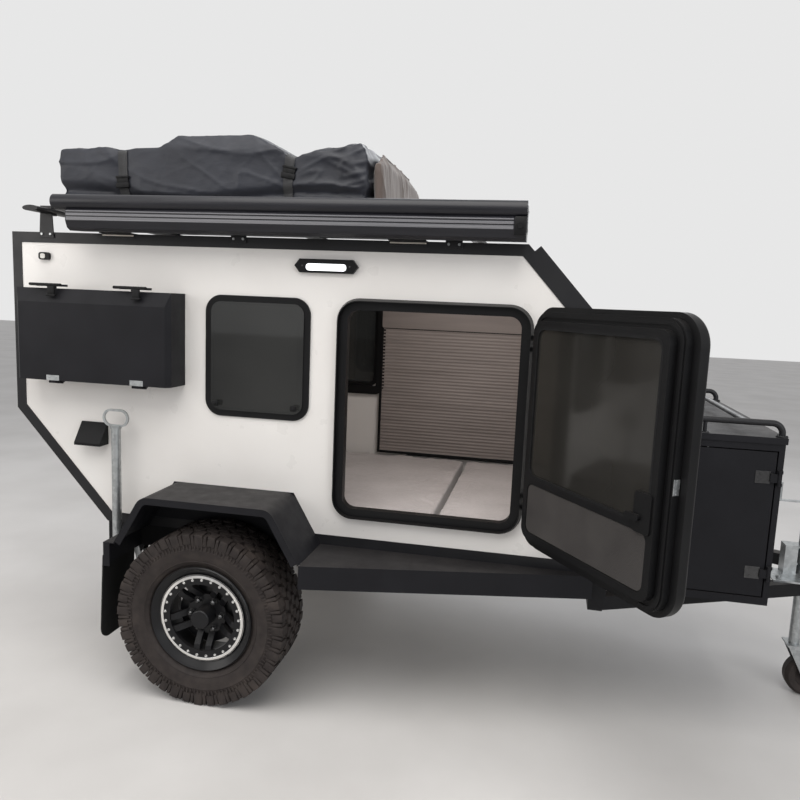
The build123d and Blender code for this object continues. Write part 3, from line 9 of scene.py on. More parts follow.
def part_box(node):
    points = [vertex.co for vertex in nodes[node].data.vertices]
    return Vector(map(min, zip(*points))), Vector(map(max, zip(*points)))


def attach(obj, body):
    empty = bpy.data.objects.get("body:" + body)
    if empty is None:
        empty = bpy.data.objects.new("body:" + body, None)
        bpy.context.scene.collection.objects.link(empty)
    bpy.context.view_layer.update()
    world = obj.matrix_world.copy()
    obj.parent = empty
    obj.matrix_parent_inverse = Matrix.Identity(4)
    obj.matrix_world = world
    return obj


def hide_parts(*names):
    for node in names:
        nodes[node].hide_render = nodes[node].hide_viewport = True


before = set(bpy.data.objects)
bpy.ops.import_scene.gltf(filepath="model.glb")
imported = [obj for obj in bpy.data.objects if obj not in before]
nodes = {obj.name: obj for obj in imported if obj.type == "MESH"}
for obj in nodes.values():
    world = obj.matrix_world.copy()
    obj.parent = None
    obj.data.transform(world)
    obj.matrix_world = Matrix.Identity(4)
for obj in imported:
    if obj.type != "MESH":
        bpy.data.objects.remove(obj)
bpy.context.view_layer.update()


# Chassis and drawbar: box-section steel rails, crossmembers and an A-shaped drawbar, welded,
# blasted and painted black. The drawbar is bolted up under the rails; the paint is a little
# dusty on everything that faces up.
AXLE_TO_BALL = 3.2
BALL_HEIGHT = 0.56


def at(x, y, z):
    """A point given in metres from the ground under the axle, as the frame counts from the ball."""
    return Vector((x - AXLE_TO_BALL, y, z - BALL_HEIGHT))


def add(material, kind, **values):
    """A node whose sockets are set by name, to a value or to another node's output."""
    tree = material.node_tree
    made = tree.nodes.new(kind)
    for name, value in values.items():
        socket = made.inputs[name.replace("_", " ")]
        if isinstance(value, bpy.types.NodeSocket):
            tree.links.new(value, socket)
        else:
            socket.default_value = value
    return made


def blank_finish(name, roughness, metallic=0.0, **sockets):
    """A new material with the numbers that are the same all over it on its shader."""
    material = bpy.data.materials.new(name)
    material.use_nodes = True
    shader = material.node_tree.nodes["Principled BSDF"]
    shader.inputs["Roughness"].default_value = roughness
    shader.inputs["Metallic"].default_value = metallic
    for socket, value in sockets.items():
        shader.inputs[socket.replace("_", " ")].default_value = value
    return material


def place_of(material, stretch=(1, 1, 1), turn=(0, 0, 0)):
    """The piece's own coordinates in metres, stretched or turned."""
    coordinates = add(material, "ShaderNodeTexCoord")
    mapping = add(material, "ShaderNodeMapping", Vector=coordinates.outputs["Object"])
    mapping.inputs["Scale"].default_value = stretch
    mapping.inputs["Rotation"].default_value = turn
    return mapping.outputs["Vector"]


def cloud(material, scale, detail=4.0, stretch=(1, 1, 1), turn=(0, 0, 0)):
    """A cloudy pattern from 0 to 1 with this many clouds to the metre."""
    place = place_of(material, stretch, turn)
    pattern = add(material, "ShaderNodeTexNoise", Vector=place, Scale=scale, Detail=detail)
    return pattern.outputs["Fac"]


def ramp(material, factor, *stops):
    """A run of colours or greys: each stop is a place from 0 to 1 and its colour."""
    made = add(material, "ShaderNodeValToRGB", Fac=factor)
    elements = made.color_ramp.elements
    while len(elements) < len(stops):
        elements.new(0.5)
    for element, (position, colour) in zip(elements, stops):
        element.position = position
        element.color = (*colour, 1) if hasattr(colour, "__len__") else (colour, colour, colour, 1)
    return made.outputs["Color"]


def mixed(material, factor, first, second):
    """Two colours mixed by a factor."""
    made = add(material, "ShaderNodeMix")
    made.data_type = "RGBA"
    tree = material.node_tree
    for index, value in ((0, factor), (6, first), (7, second)):
        if isinstance(value, bpy.types.NodeSocket):
            tree.links.new(value, made.inputs[index])
        else:
            made.inputs[index].default_value = (*value, 1)
    return made.outputs[2]


def wire(material, socket, output):
    """Feeds a pattern to one of the shader's sockets."""
    shader = material.node_tree.nodes["Principled BSDF"]
    material.node_tree.links.new(output, shader.inputs[socket])


def vary(material, socket, pattern, low, high, start=0.3, end=0.7):
    """Feeds a socket from low to high, or from one colour to another, by a pattern."""
    wire(material, socket, ramp(material, pattern, (start, low), (end, high)))


def relief(material, height, depth, strength=1.0, under=None):
    """Bump of this depth in metres from a pattern, over another bump if there is one."""
    bump = add(material, "ShaderNodeBump", Height=height, Distance=depth, Strength=strength)
    if under is not None:
        material.node_tree.links.new(under, bump.inputs["Normal"])
    wire(material, "Normal", bump.outputs["Normal"])
    return bump.outputs["Normal"]


def upward(material):
    """How far a face looks up, from 0 to 1, for the dust that lies on it."""
    geometry = add(material, "ShaderNodeNewGeometry")
    split = add(material, "ShaderNodeSeparateXYZ", Vector=geometry.outputs["Normal"])
    return ramp(material, split.outputs["Z"], (0.55, 0.0), (0.98, 1.0))


def dusty(material, colour, dust, amount, scale=14):
    """The colour, cloudy, with dust on what faces up."""
    patches = cloud(material, scale, 6)
    dark = tuple(c * 0.86 for c in colour)
    light = tuple(min(1.0, c * 1.12) for c in colour)
    base = ramp(material, patches, (0.3, dark), (0.7, light))
    lying = add(material, "ShaderNodeMath", Value=upward(material))
    lying.operation = "MULTIPLY"
    spread = ramp(material, patches, (0.25, 0.35 * amount), (0.75, amount))
    material.node_tree.links.new(spread, lying.inputs[1])
    wire(material, "Base Color", mixed(material, lying.outputs[0], base, dust))


def dress(material, *names):
    """Gives CAD nodes their finish."""
    for name in names:
        nodes[name].data.materials.clear()
        nodes[name].data.materials.append(material)


DUST = (0.16, 0.14, 0.12)
chassis_paint = blank_finish("chassis_paint", 0.5, Specular_IOR_Level=0.14)
dusty(chassis_paint, (0.009, 0.009, 0.010), DUST, 0.22)
vary(chassis_paint, "Roughness", cloud(chassis_paint, 30, 5), 0.42, 0.62)
relief(chassis_paint, cloud(chassis_paint, 260, 3), 0.0006, 0.5)
dress(chassis_paint, "chassis_frame", "drawbar", "leg_sockets", "coupling", "axle")


# Leaf springs: five spring-steel leaves on each side with rolled eyes, clamped on the axle by
# zinc-plated U-bolts and hung from shackles at the rear. Mill scale shows through the black paint.
spring_paint = blank_finish("spring_paint", 0.55, 0.2)
dusty(spring_paint, (0.03, 0.028, 0.027), DUST, 0.3, 25)
relief(spring_paint, cloud(spring_paint, 180, 4), 0.0008, 0.6)
dress(spring_paint, "leaf_springs")

zinc = blank_finish("zinc", 0.36, 0.9)
grains = add(zinc, "ShaderNodeTexVoronoi", Vector=place_of(zinc), Scale=70)
vary(zinc, "Base Color", grains.outputs["Color"], (0.33, 0.345, 0.35), (0.43, 0.445, 0.45), 0.2, 0.8)
vary(zinc, "Roughness", cloud(zinc, 45, 6), 0.28, 0.52, 0.3, 0.75)
relief(zinc, cloud(zinc, 320, 3), 0.0004, 0.35)
dress(zinc, "spring_fittings", "drop_leg_right", "drop_leg_left", "jack_body", "jack_leg", "jockey_fork")


# Wheels: deep-dish 17-inch alloys with five pairs of spokes, cast, machined and painted satin
# black. A machined ring stands bare in front of a circle of 25 small bolts, and six nuts hold
# the wheel on its hub under a domed cap.
AXLE_HEIGHT = 0.3875
WHEEL_FACE = 0.998
RING_BOLTS = 25
RING_BOLT_CIRCLE = 0.1722
WHEEL_NUTS = 6
NUT_CIRCLE = 0.06985
RING_BOLT_DEPTH = 0.0377
NUT_DEPTH = 0.0885
# radius and depth from the wheel's outer face
RING_OUTLINE = ((0.1803, 0.0370), (0.1803, 0.0352), (0.1825, 0.0342), (0.1958, 0.0368), (0.1958, 0.0385))


def finished(name, shape, finish, body, sharp=35):
    """Turns a shape into a piece in its place, with its finish, that moves with a body."""
    shape.normal_update()
    bmesh.ops.recalc_face_normals(shape, faces=shape.faces[:])
    mesh = bpy.data.meshes.new(name)
    shape.to_mesh(mesh)
    shape.free()
    mesh.materials.append(finish)
    mesh.shade_smooth()
    mesh.set_sharp_from_angle(angle=math.radians(sharp))
    made = bpy.data.objects.new(name, mesh)
    bpy.context.scene.collection.objects.link(made)
    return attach(made, body)


def turned(shape, centre, side, outline, steps):
    """A closed outline in radius and depth, turned on a lathe about an axle that points outward."""
    verts = [shape.verts.new(centre + Vector((0, -side * depth, radius))) for radius, depth in outline]
    loop = [shape.edges.new(pair) for pair in zip(verts, verts[1:] + verts[:1])]
    bmesh.ops.spin(
        shape,
        geom=verts + loop,
        cent=centre,
        axis=(0, 1, 0),
        dvec=(0, 0, 0),
        angle=math.tau,
        steps=steps,
        use_merge=True,
        use_duplicate=False,
    )


def stud(shape, foot, out, across, height, sides=6, top=0.86):
    """A nut, bolt head or knob that stands on its foot and narrows a little towards its top."""
    turn = out.to_track_quat("Z", "Y").to_matrix().to_4x4()
    bmesh.ops.create_cone(
        shape,
        cap_ends=True,
        segments=sides,
        radius1=across / 2,
        radius2=across / 2 * top,
        depth=height,
        matrix=Matrix.Translation(foot + out * (height / 2)) @ turn,
    )


rim_paint = blank_finish("rim_paint", 0.34, Coat_Weight=0.08, Coat_Roughness=0.18, Specular_IOR_Level=0.2)
dusty(rim_paint, (0.007, 0.007, 0.008), DUST, 0.06)
relief(rim_paint, cloud(rim_paint, 600, 2), 0.0002, 0.4)
dress(rim_paint, "rim_right", "rim_left")

machined = blank_finish("machined_ring", 0.2, 1.0, Anisotropic=0.5)
turning = cloud(machined, 300, 3, (1, 0.2, 1))
vary(machined, "Base Color", turning, (0.74, 0.73, 0.71), (0.86, 0.85, 0.83))
relief(machined, turning, 0.0002, 0.3)

bright_steel = blank_finish("bright_steel", 0.16, 1.0)
wear = cloud(bright_steel, 90, 4)
vary(bright_steel, "Base Color", wear, (0.66, 0.66, 0.65), (0.82, 0.82, 0.81))

black_steel = blank_finish("black_steel", 0.24, 0.6, Coat_Weight=0.4, Coat_Roughness=0.1)
wear = cloud(black_steel, 120, 4)
vary(black_steel, "Base Color", wear, (0.03, 0.03, 0.031), (0.05, 0.05, 0.051))

for side, hand in ((-1, "right"), (1, "left")):
    out = Vector((0, side, 0))
    face = at(0, side * WHEEL_FACE, AXLE_HEIGHT)
    ring = bmesh.new()
    turned(ring, face, side, RING_OUTLINE, 144)
    finished("machined_ring_" + hand, ring, machined, "wheel_" + hand)

    bolts = bmesh.new()
    for i in range(RING_BOLTS):
        turn = math.tau * i / RING_BOLTS
        foot = face + Vector((math.sin(turn), 0, math.cos(turn))) * RING_BOLT_CIRCLE - out * RING_BOLT_DEPTH
        stud(bolts, foot, out, 0.0125, 0.0016, 16, 0.95)
        stud(bolts, foot + out * 0.0016, out, 0.0092, 0.0048, 6, 0.9)
    finished("ring_bolts_" + hand, bolts, bright_steel, "wheel_" + hand)

    nuts = bmesh.new()
    for i in range(WHEEL_NUTS):
        turn = math.tau * i / WHEEL_NUTS
        foot = face + Vector((math.cos(turn), 0, math.sin(turn))) * NUT_CIRCLE - out * NUT_DEPTH
        stud(nuts, foot, out, 0.030, 0.004, 24, 0.9)
        stud(nuts, foot + out * 0.004, out, 0.025, 0.018, 6, 0.92)
        stud(nuts, foot + out * 0.022, out, 0.021, 0.005, 16, 0.5)
    finished("wheel_nuts_" + hand, nuts, black_steel, "wheel_" + hand)


# Tyres: mud-terrain tyres, 775 mm across and 265 mm wide, moulded rubber. Each pitch of the tread
# has a long and a short shoulder lug with a low bridge between them and small ribs below, and two
# rows of blocks on each side of the middle. They are dry, brownish and dusty from the yard.
TYRE_WIDE = 0.265
WALL_MIDDLE = 0.311
WALL_ARC = 0.119
WALL_OUT = 0.006
PITCHES = 20
STEP_DEGREES = 360 / PITCHES / 2
LUG_TABLE = (
    # place across from the middle, place round in steps, length, width, height, reach, twist, lean
    (0.1050, 0.00, 0.044, 0.050, 0.056, 0.3858, 0, 4),
    (0.1040, 1.00, 0.040, 0.048, 0.044, 0.3858, 0, 4),
    (0.1080, 0.50, 0.017, 0.044, 0.044, 0.3812, 0, 4),
    (0.1080, 1.50, 0.017, 0.044, 0.052, 0.3812, 0, 4),
    (0.0520, 0.50, 0.047, 0.036, 0.022, 0.3864, 24, 0),
    (0.0520, 1.50, 0.047, 0.036, 0.022, 0.3864, 24, 0),
    (0.0155, 0.05, 0.046, 0.028, 0.022, 0.3864, -20, 0),
    (0.0155, 1.05, 0.046, 0.028, 0.022, 0.3864, -20, 0),
)
RIB_STEPS = (-0.30, 0.0, 0.30, 0.70, 1.0, 1.30)
RIB_ACROSS = 0.1262
RIB_RADIUS = 0.3275
BEAD_OUTLINE = ((0.2170, 0.052), (0.2170, 0.037), (0.2385, 0.0365), (0.2425, 0.0290))
WALL_RADII = (0.2480, 0.2575, 0.2590, 0.2620, 0.2640, 0.2760, 0.2900, 0.3110, 0.3140, 0.3165, 0.3200)
SHOULDER_RADII = (0.3380, 0.3540, 0.3670)
WALL_RINGS = {0.2590: 0.0028, 0.2620: 0.0028, 0.3140: 0.0012}
CROWN_OUTLINE = ((0.3725, 0.034), (0.3735, 0.060), (0.3745, 0.100))


def wall_depth(radius):
    """How far the tyre's sidewall lies in from its outer face at a radius."""
    rise = (radius - WALL_MIDDLE) / WALL_ARC
    return WALL_OUT + WALL_ARC * (1 - math.sqrt(1 - rise * rise))


def tyre_outline():
    """Half of the carcass from the bead over the sidewall to the middle, and the other half back."""
    half = list(BEAD_OUTLINE)
    for radius in WALL_RADII + SHOULDER_RADII:
        half.append((radius, wall_depth(radius) - WALL_RINGS.get(radius, 0)))
    half += CROWN_OUTLINE
    return half + [(radius, TYRE_WIDE - depth) for radius, depth in reversed(half)]


def join_into(shape, part):
    """Adds a part, made by itself, to a shape."""
    mesh = bpy.data.meshes.new("part")
    part.to_mesh(mesh)
    part.free()
    shape.from_mesh(mesh)
    bpy.data.meshes.remove(mesh)


def lug(length, width, height, shoulder):
    """One rubber block: a cube narrowed upward, its upright edges and its shoulder rounded."""
    block = bmesh.new()
    made = bmesh.ops.create_cube(block, size=1.0)["verts"]
    bmesh.ops.scale(block, vec=(length, width, height), verts=made)
    for vert in block.verts:
        if vert.co.z > 0:
            vert.co.x *= 0.88
    upright = [edge for edge in block.edges if edge.verts[0].co.z * edge.verts[1].co.z < 0]
    bmesh.ops.bevel(
        block, geom=upright, offset=0.15 * width, segments=2, profile=0.5, affect="EDGES", material=-1
    )
    if shoulder:
        outer = [
            edge
            for edge in block.edges
            if all(vert.co.z > 0 and vert.co.y > width / 2 - 0.0001 for vert in edge.verts)
        ]
        bmesh.ops.bevel(
            block, geom=outer, offset=0.014, segments=3, profile=0.5, affect="EDGES", material=-1
        )
    return block


def on_tread(side, half, steps, across, radius, twist=0.0, lean=0.0):
    """A place on the tread: turned round the axle, out from the tyre's middle, twisted and leaned."""
    turn = math.radians(STEP_DEGREES * (steps + (0.5 if half < 0 else 0)))
    place = Matrix.Translation(at(0, side * (WHEEL_FACE - TYRE_WIDE / 2), AXLE_HEIGHT))
    place @= Matrix.Rotation(turn, 4, "Y")
    place @= Matrix.Translation((0, side * half * across, radius))
    place @= Matrix.Rotation(math.radians(twist) * side * half, 4, "Z")
    place @= Matrix.Diagonal((1, side * half, 1, 1))
    return place @ Matrix.Rotation(math.radians(-lean), 4, "X")


rubber = blank_finish("tyre_rubber", 0.7, Specular_IOR_Level=0.28)
patches = cloud(rubber, 8, 7)
tread_dust = cloud(rubber, 34, 6)
black = (0.013, 0.0100, 0.0095)
brownish = (0.022, 0.017, 0.016)
dry = (0.052, 0.041, 0.035)
worn = ramp(rubber, patches, (0.3, black), (0.55, brownish), (0.8, dry))
dust_mask = ramp(rubber, tread_dust, (0.35, 0.0), (0.8, 0.35))
wire(rubber, "Base Color", mixed(rubber, dust_mask, worn, (0.058, 0.047, 0.040)))
grain = relief(rubber, cloud(rubber, 420, 4), 0.0006, 0.5)
relief(rubber, cloud(rubber, 60, 5), 0.0015, 0.35, grain)
dress(rubber, "tyre_right", "tyre_left", "jockey_wheel")

for side, hand in ((-1, "right"), (1, "left")):
    centre = at(0, side * WHEEL_FACE, AXLE_HEIGHT)
    tread = bmesh.new()
    for half in (1, -1):
        for across, steps, length, width, height, reach, twist, lean in LUG_TABLE:
            block = lug(length, width, height, lean > 0)
            block.transform(on_tread(side, half, steps, across, reach - height / 2, twist, lean))
            join_into(tread, block)
        for steps in RIB_STEPS:
            rib = lug(0.007, 0.008, 0.020, False)
            rib.transform(on_tread(side, half, steps, RIB_ACROSS, RIB_RADIUS))
            join_into(tread, rib)
    bmesh.ops.spin(
        tread,
        geom=tread.verts[:] + tread.edges[:] + tread.faces[:],
        cent=centre,
        axis=(0, 1, 0),
        dvec=(0, 0, 0),
        angle=math.tau * (PITCHES - 1) / PITCHES,
        steps=PITCHES - 1,
        use_merge=False,
        use_duplicate=True,
    )
    turned(tread, centre, side, tyre_outline(), 120)
    tyre = finished("mud_tyre_" + hand, tread, rubber, "wheel_" + hand, 42)
    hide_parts("tyre_" + hand)


# Fenders, running boards and boxes: folded steel and aluminium sheet with a fine-textured black
# powder coat. Rubber flaps hang behind the wheels, each held by a strip and four bolts.
FLAP_BACK = -0.4523
FLAP_ROW_HEIGHT = 0.611
FLAP_OUTER = 0.992
FLAP_INNER = 0.752
STRIP_HALF = 0.013
STRIP_THICK = 0.003
STRIP_BOLTS = 4


def corners(first, second):
    """The low and the high corner of the box between two points."""
    low = Vector([min(pair) for pair in zip(first, second)])
    high = Vector([max(pair) for pair in zip(first, second)])
    return low, high


def slab(shape, first, second, edge=0.0, rounds=2):
    """A box between two corners, with its edges rounded."""
    low, high = corners(first, second)
    box = bmesh.new()
    made = bmesh.ops.create_cube(box, size=1.0)["verts"]
    bmesh.ops.scale(box, vec=high - low, verts=made)
    bmesh.ops.translate(box, vec=(high + low) / 2, verts=made)
    if edge:
        bmesh.ops.bevel(
            box, geom=box.edges[:], offset=edge, segments=rounds, profile=0.5, affect="EDGES", material=-1
        )
    join_into(shape, box)


powder = blank_finish("powder_coat", 0.5, Specular_IOR_Level=0.13)
dusty(powder, (0.0105, 0.0105, 0.0125), DUST, 0.10, 6)
vary(powder, "Roughness", cloud(powder, 18, 6), 0.42, 0.54)
relief(powder, cloud(powder, 900, 2), 0.00035, 0.6)
dress(powder, "fenders", "running_boards", "side_box", "side_box_lid")
dress(powder, "front_box", "box_door_right", "box_door_left")

flap_rubber = blank_finish("flap_rubber", 0.62, Specular_IOR_Level=0.15)
dusty(flap_rubber, (0.010, 0.010, 0.010), DUST, 0.15)
relief(flap_rubber, cloud(flap_rubber, 200, 4), 0.0005, 0.5)
dress(flap_rubber, "mud_flaps")

for side, hand in ((-1, "right"), (1, "left")):
    outer = side * FLAP_OUTER
    inner = side * FLAP_INNER
    strip = bmesh.new()
    back = FLAP_BACK - STRIP_THICK
    foot = at(back, outer, FLAP_ROW_HEIGHT - STRIP_HALF)
    head = at(FLAP_BACK, inner, FLAP_ROW_HEIGHT + STRIP_HALF)
    slab(strip, foot, head, 0.001, 1)
    for i in range(STRIP_BOLTS):
        y = inner + (outer - inner) * (0.1 + 0.8 * i / (STRIP_BOLTS - 1))
        stud(strip, at(back, y, FLAP_ROW_HEIGHT), Vector((-1, 0, 0)), 0.014, 0.006)
    finished("flap_strip_" + hand, strip, zinc, "trailer")


# Body: 30 mm sandwich panels with a white gelcoat skin, glued and edged with folded black
# aluminium trim. The gelcoat is smooth.
gelcoat = blank_finish("gelcoat", 0.3, Coat_Weight=0.25, Coat_Roughness=0.1)
patches = cloud(gelcoat, 2.2, 5)
vary(gelcoat, "Base Color", patches, (0.66, 0.635, 0.61), (0.71, 0.69, 0.665))
vary(gelcoat, "Roughness", cloud(gelcoat, 7, 6), 0.26, 0.38, 0.3, 0.75)
relief(gelcoat, cloud(gelcoat, 26, 2), 0.0006, 0.12)
dress(gelcoat, "wall_right", "wall_left", "roof_panel", "brow_panel", "front_wall", "tail_panel")
dress(gelcoat, "rear_frame", "rear_hatch")

satin = blank_finish("trim_satin_black", 0.36, Specular_IOR_Level=0.25)
dusty(satin, (0.013, 0.013, 0.0145), DUST, 0.06, 5)
vary(satin, "Roughness", cloud(satin, 12, 5), 0.32, 0.44)
relief(satin, cloud(satin, 700, 2), 0.00025, 0.5)
dress(satin, "corner_trim", "brow_cover", "box_rail", "roof_rack", "tent_base")


# Doors: a moulded black frame is clamped through the wall, and the leaf hangs in it on two hinges.
# Its inner shell holds the smoked acrylic pane in a rubber gasket over a grey fluted panel. A
# zinc latch closes it, worked by a paddle with a small lock outside.
DOOR_HINGE = (1.350, -0.757)
DOOR_OPEN = 124.5
LATCH_LINE = -0.725
LATCH_HEIGHT = 1.260
LATCH_PLATES = (
    # from and to along the wall, half the width, half the height
    (0.5136, 0.5160, 0.012, 0.025),
    (0.5126, 0.5150, 0.004, 0.013),
)
PADDLE_MIDDLE = 0.533
LOCK_HEIGHT = 1.2095


def plate(shape, first, second, radius, ring=0.0):
    """A plate in the plane of the wall with round corners, or a ring of that width."""
    low, high = corners(first, second)
    size = high - low
    cut = bmesh.new()
    made = bmesh.ops.create_grid(cut, x_segments=1, y_segments=1, size=0.5)["verts"]
    bmesh.ops.scale(cut, vec=(size.x, size.z, 1), verts=made)
    bmesh.ops.rotate(cut, matrix=Matrix.Rotation(math.radians(90), 3, "X"), verts=made)
    middle = Vector(((low.x + high.x) / 2, low.y, (low.z + high.z) / 2))
    bmesh.ops.translate(cut, vec=middle, verts=made)
    bmesh.ops.bevel(cut, geom=made, offset=radius, segments=8, profile=0.5, affect="VERTICES", material=-1)
    whole = cut.faces[:]
    if ring:
        bmesh.ops.inset_region(cut, faces=whole, thickness=ring, use_boundary=True, use_even_offset=True)
        bmesh.ops.delete(cut, geom=whole, context="FACES_ONLY")
    grown = bmesh.ops.extrude_face_region(cut, geom=cut.faces[:])["geom"]
    lifted = [part for part in grown if isinstance(part, bmesh.types.BMVert)]
    bmesh.ops.translate(cut, vec=(0, size.y, 0), verts=lifted)
    join_into(shape, cut)


def stripes(material, scale, wobble=0.0, direction="X"):
    """Fine even lines, such as flutes, ribs or threads."""
    made = add(material, "ShaderNodeTexWave", Vector=place_of(material), Scale=scale, Distortion=wobble)
    made.bands_direction = direction
    return made.outputs["Fac"]


def door_place(hand):
    """Where a shape made for the right door shut goes: swung open, or over to the left side."""
    if hand == "left":
        return Matrix.Diagonal((1, -1, 1, 1))
    pin = Matrix.Translation(at(*DOOR_HINGE, BALL_HEIGHT))
    return pin @ Matrix.Rotation(math.radians(DOOR_OPEN), 4, "Z") @ pin.inverted()


moulding = blank_finish("moulded_black", 0.38, Specular_IOR_Level=0.16)
dusty(moulding, (0.0065, 0.0065, 0.007), DUST, 0.04, 8)
relief(moulding, cloud(moulding, 500, 3), 0.0003, 0.5)
dress(moulding, "door_frames", "door_right", "door_left", "window_frames", "porch_light")
dress(moulding, "small_lamp", "inlet_hood")

acrylic = blank_finish("smoked_acrylic", 0.04, Transmission_Weight=0.5, IOR=1.49)
smoke = cloud(acrylic, 2.5, 3)
vary(acrylic, "Base Color", smoke, (0.030, 0.031, 0.030), (0.050, 0.051, 0.049))
dress(acrylic, "window_panes")

deep_tint = blank_finish(
    "deep_tinted_acrylic", 0.09, Transmission_Weight=0.08, IOR=1.49, Specular_IOR_Level=0.4
)
smoke = cloud(deep_tint, 1.6, 3)
vary(deep_tint, "Base Color", smoke, (0.020, 0.019, 0.017), (0.034, 0.032, 0.029))
dress(deep_tint, "door_pane_right", "door_pane_left")

gasket_rubber = blank_finish("gasket_rubber", 0.6, Specular_IOR_Level=0.15)
dull = cloud(gasket_rubber, 60, 5)
vary(gasket_rubber, "Base Color", dull, (0.006, 0.006, 0.006), (0.011, 0.011, 0.012))
relief(gasket_rubber, cloud(gasket_rubber, 400, 3), 0.0003, 0.5)

fluted = blank_finish("fluted_panel", 0.5, Specular_IOR_Level=0.15)
flutes = stripes(fluted, 60.0, 0.0, "Z")
shade = cloud(fluted, 5, 4)
vary(fluted, "Base Color", shade, (0.040, 0.037, 0.036), (0.056, 0.052, 0.050))
relief(fluted, flutes, 0.0006, 0.5)

for hand in ("right", "left"):
    place = door_place(hand)
    body = "cabin_door_" + hand
    panel = bmesh.new()
    plate(panel, at(0.581, -0.6888, 0.904), at(1.243, -0.6862, 1.095), 0.028)
    panel.transform(place)
    finished("door_lower_panel_" + hand, panel, fluted, body)

    gasket = bmesh.new()
    plate(gasket, at(0.574, -0.6905, 1.122), at(1.250, -0.6835, 1.709), 0.042, 0.010)
    plate(gasket, at(0.573, -0.7915, 1.121), at(1.251, -0.7850, 1.710), 0.044, 0.012)
    gasket.transform(place)
    finished("pane_gasket_" + hand, gasket, gasket_rubber, body)

    latch = bmesh.new()
    for low_x, high_x, wide, tall in LATCH_PLATES:
        foot = at(low_x, LATCH_LINE - wide, LATCH_HEIGHT - tall)
        slab(latch, foot, at(high_x, LATCH_LINE + wide, LATCH_HEIGHT + tall), 0.0006, 1)
    for shift in (-0.0205, 0.0205):
        stud(latch, at(0.5137, LATCH_LINE, LATCH_HEIGHT + shift), Vector((-1, 0, 0)), 0.006, 0.001, 12)
    latch.transform(place)
    finished("door_latch_" + hand, latch, zinc, body)

    paddle = bmesh.new()
    plate(paddle, at(0.500, -0.7895, 1.195), at(0.566, -0.7850, 1.315), 0.014)
    slab(paddle, at(0.509, -0.7955, 1.225), at(0.557, -0.7890, 1.303), 0.003)
    stud(paddle, at(PADDLE_MIDDLE, -0.7895, LOCK_HEIGHT), Vector((0, -1, 0)), 0.018, 0.004, 24)
    paddle.transform(place)
    finished("door_paddle_" + hand, paddle, moulding, body)

    lock_face = bmesh.new()
    stud(lock_face, at(PADDLE_MIDDLE, -0.7935, LOCK_HEIGHT), Vector((0, -1, 0)), 0.013, 0.0008, 24, 0.95)
    lock_face.transform(place)
    finished("door_lock_" + hand, lock_face, bright_steel, body)


# Windows: a clamped frame like the door's round a smoked pane, with a blind cassette inside and
# two turning catches low on the frame.
WINDOW_MIDDLE = 0.132
CASSETTE_HALF = 0.280
CASSETTE_BORDER = 0.052
CATCH_HEIGHT = 1.298
CATCH_SHIFT = 0.184

for side, hand in ((-1, "right"), (1, "left")):
    cassette = bmesh.new()
    foot = at(WINDOW_MIDDLE - CASSETTE_HALF, side * 0.6655, 1.205)
    head = at(WINDOW_MIDDLE + CASSETTE_HALF, side * 0.6435, 1.815)
    plate(cassette, foot, head, 0.062, CASSETTE_BORDER)
    finished("blind_cassette_" + hand, cassette, moulding, "trailer")

    catches = bmesh.new()
    for x in (WINDOW_MIDDLE - CATCH_SHIFT, WINDOW_MIDDLE + CATCH_SHIFT):
        foot = at(x - 0.014, side * 0.728, CATCH_HEIGHT - 0.012)
        slab(catches, foot, at(x + 0.014, side * 0.742, CATCH_HEIGHT + 0.012), 0.004)
        stud(catches, at(x, side * 0.741, CATCH_HEIGHT), Vector((0, side, 0)), 0.012, 0.005, 16)
    finished("window_catches_" + hand, catches, gasket_rubber, "trailer")


# Cabin: pale laminate on the floor, the bulkhead, the galley and the cupboard. A pleated blackout
# blind, aluminised cloth in sharp folds, is drawn across the left doorway on its own frame.
BLIND_LOW = (0.400, 0.858)
BLIND_HIGH = (1.283, 1.618)
BLIND_DEPTH = 0.6420
PLEAT_DEPTH = 0.0030
PLEATS = 38

laminate = blank_finish("laminate", 0.45)
veins = cloud(laminate, 5, 6, (1, 1, 12))
vary(laminate, "Base Color", veins, (0.42, 0.375, 0.31), (0.55, 0.50, 0.43))
relief(laminate, veins, 0.0003, 0.3)
dress(laminate, "floor_panel", "bulkhead", "galley", "cabin_cupboard")
dress(moulding, "doorway_blind")

blind = blank_finish("blind_cloth", 0.62, Sheen_Weight=0.2)
pleat_tone = cloud(blind, 3, 5, (0.5, 1, 6))
vary(blind, "Base Color", pleat_tone, (0.185, 0.158, 0.145), (0.245, 0.212, 0.196))
relief(blind, cloud(blind, 700, 2, (0.3, 1, 3)), 0.0003, 0.5)

sheet = bmesh.new()
bmesh.ops.create_grid(sheet, x_segments=16, y_segments=2 * PLEATS, size=0.5)
for vert in sheet.verts:
    fold = round((vert.co.y + 0.5) * 2 * PLEATS)
    sag = 0.0012 * noise.noise(Vector((vert.co.x * 5, fold * 0.31, 0.5)))
    x = BLIND_LOW[0] + (BLIND_HIGH[0] - BLIND_LOW[0]) * (vert.co.x + 0.5)
    z = BLIND_LOW[1] + (BLIND_HIGH[1] - BLIND_LOW[1]) * fold / (2 * PLEATS)
    vert.co = at(x, BLIND_DEPTH + PLEAT_DEPTH * (fold % 2), z + sag)
sheet.normal_update()
bmesh.ops.solidify(sheet, geom=sheet.faces[:], thickness=0.0006)
drawn_blind = finished("drawn_blind", sheet, blind, "trailer", 20)
cassette = bmesh.new()
plate(cassette, at(0.390, 0.6384, 1.624), at(1.293, 0.6396, 1.744), 0.012)
finished("blind_cassette_cover", cassette, blind, "trailer")


# Mattress: two foam halves side by side in quilted satin covers, creased where people have sat,
# with a piped seam round the top edge.
MATTRESS_PARTS = ("mattress_rear", "mattress_front")
CREASED_DEPTH = 0.05
SEAM_WIDE = 0.06
SEAM_DROP = 0.010


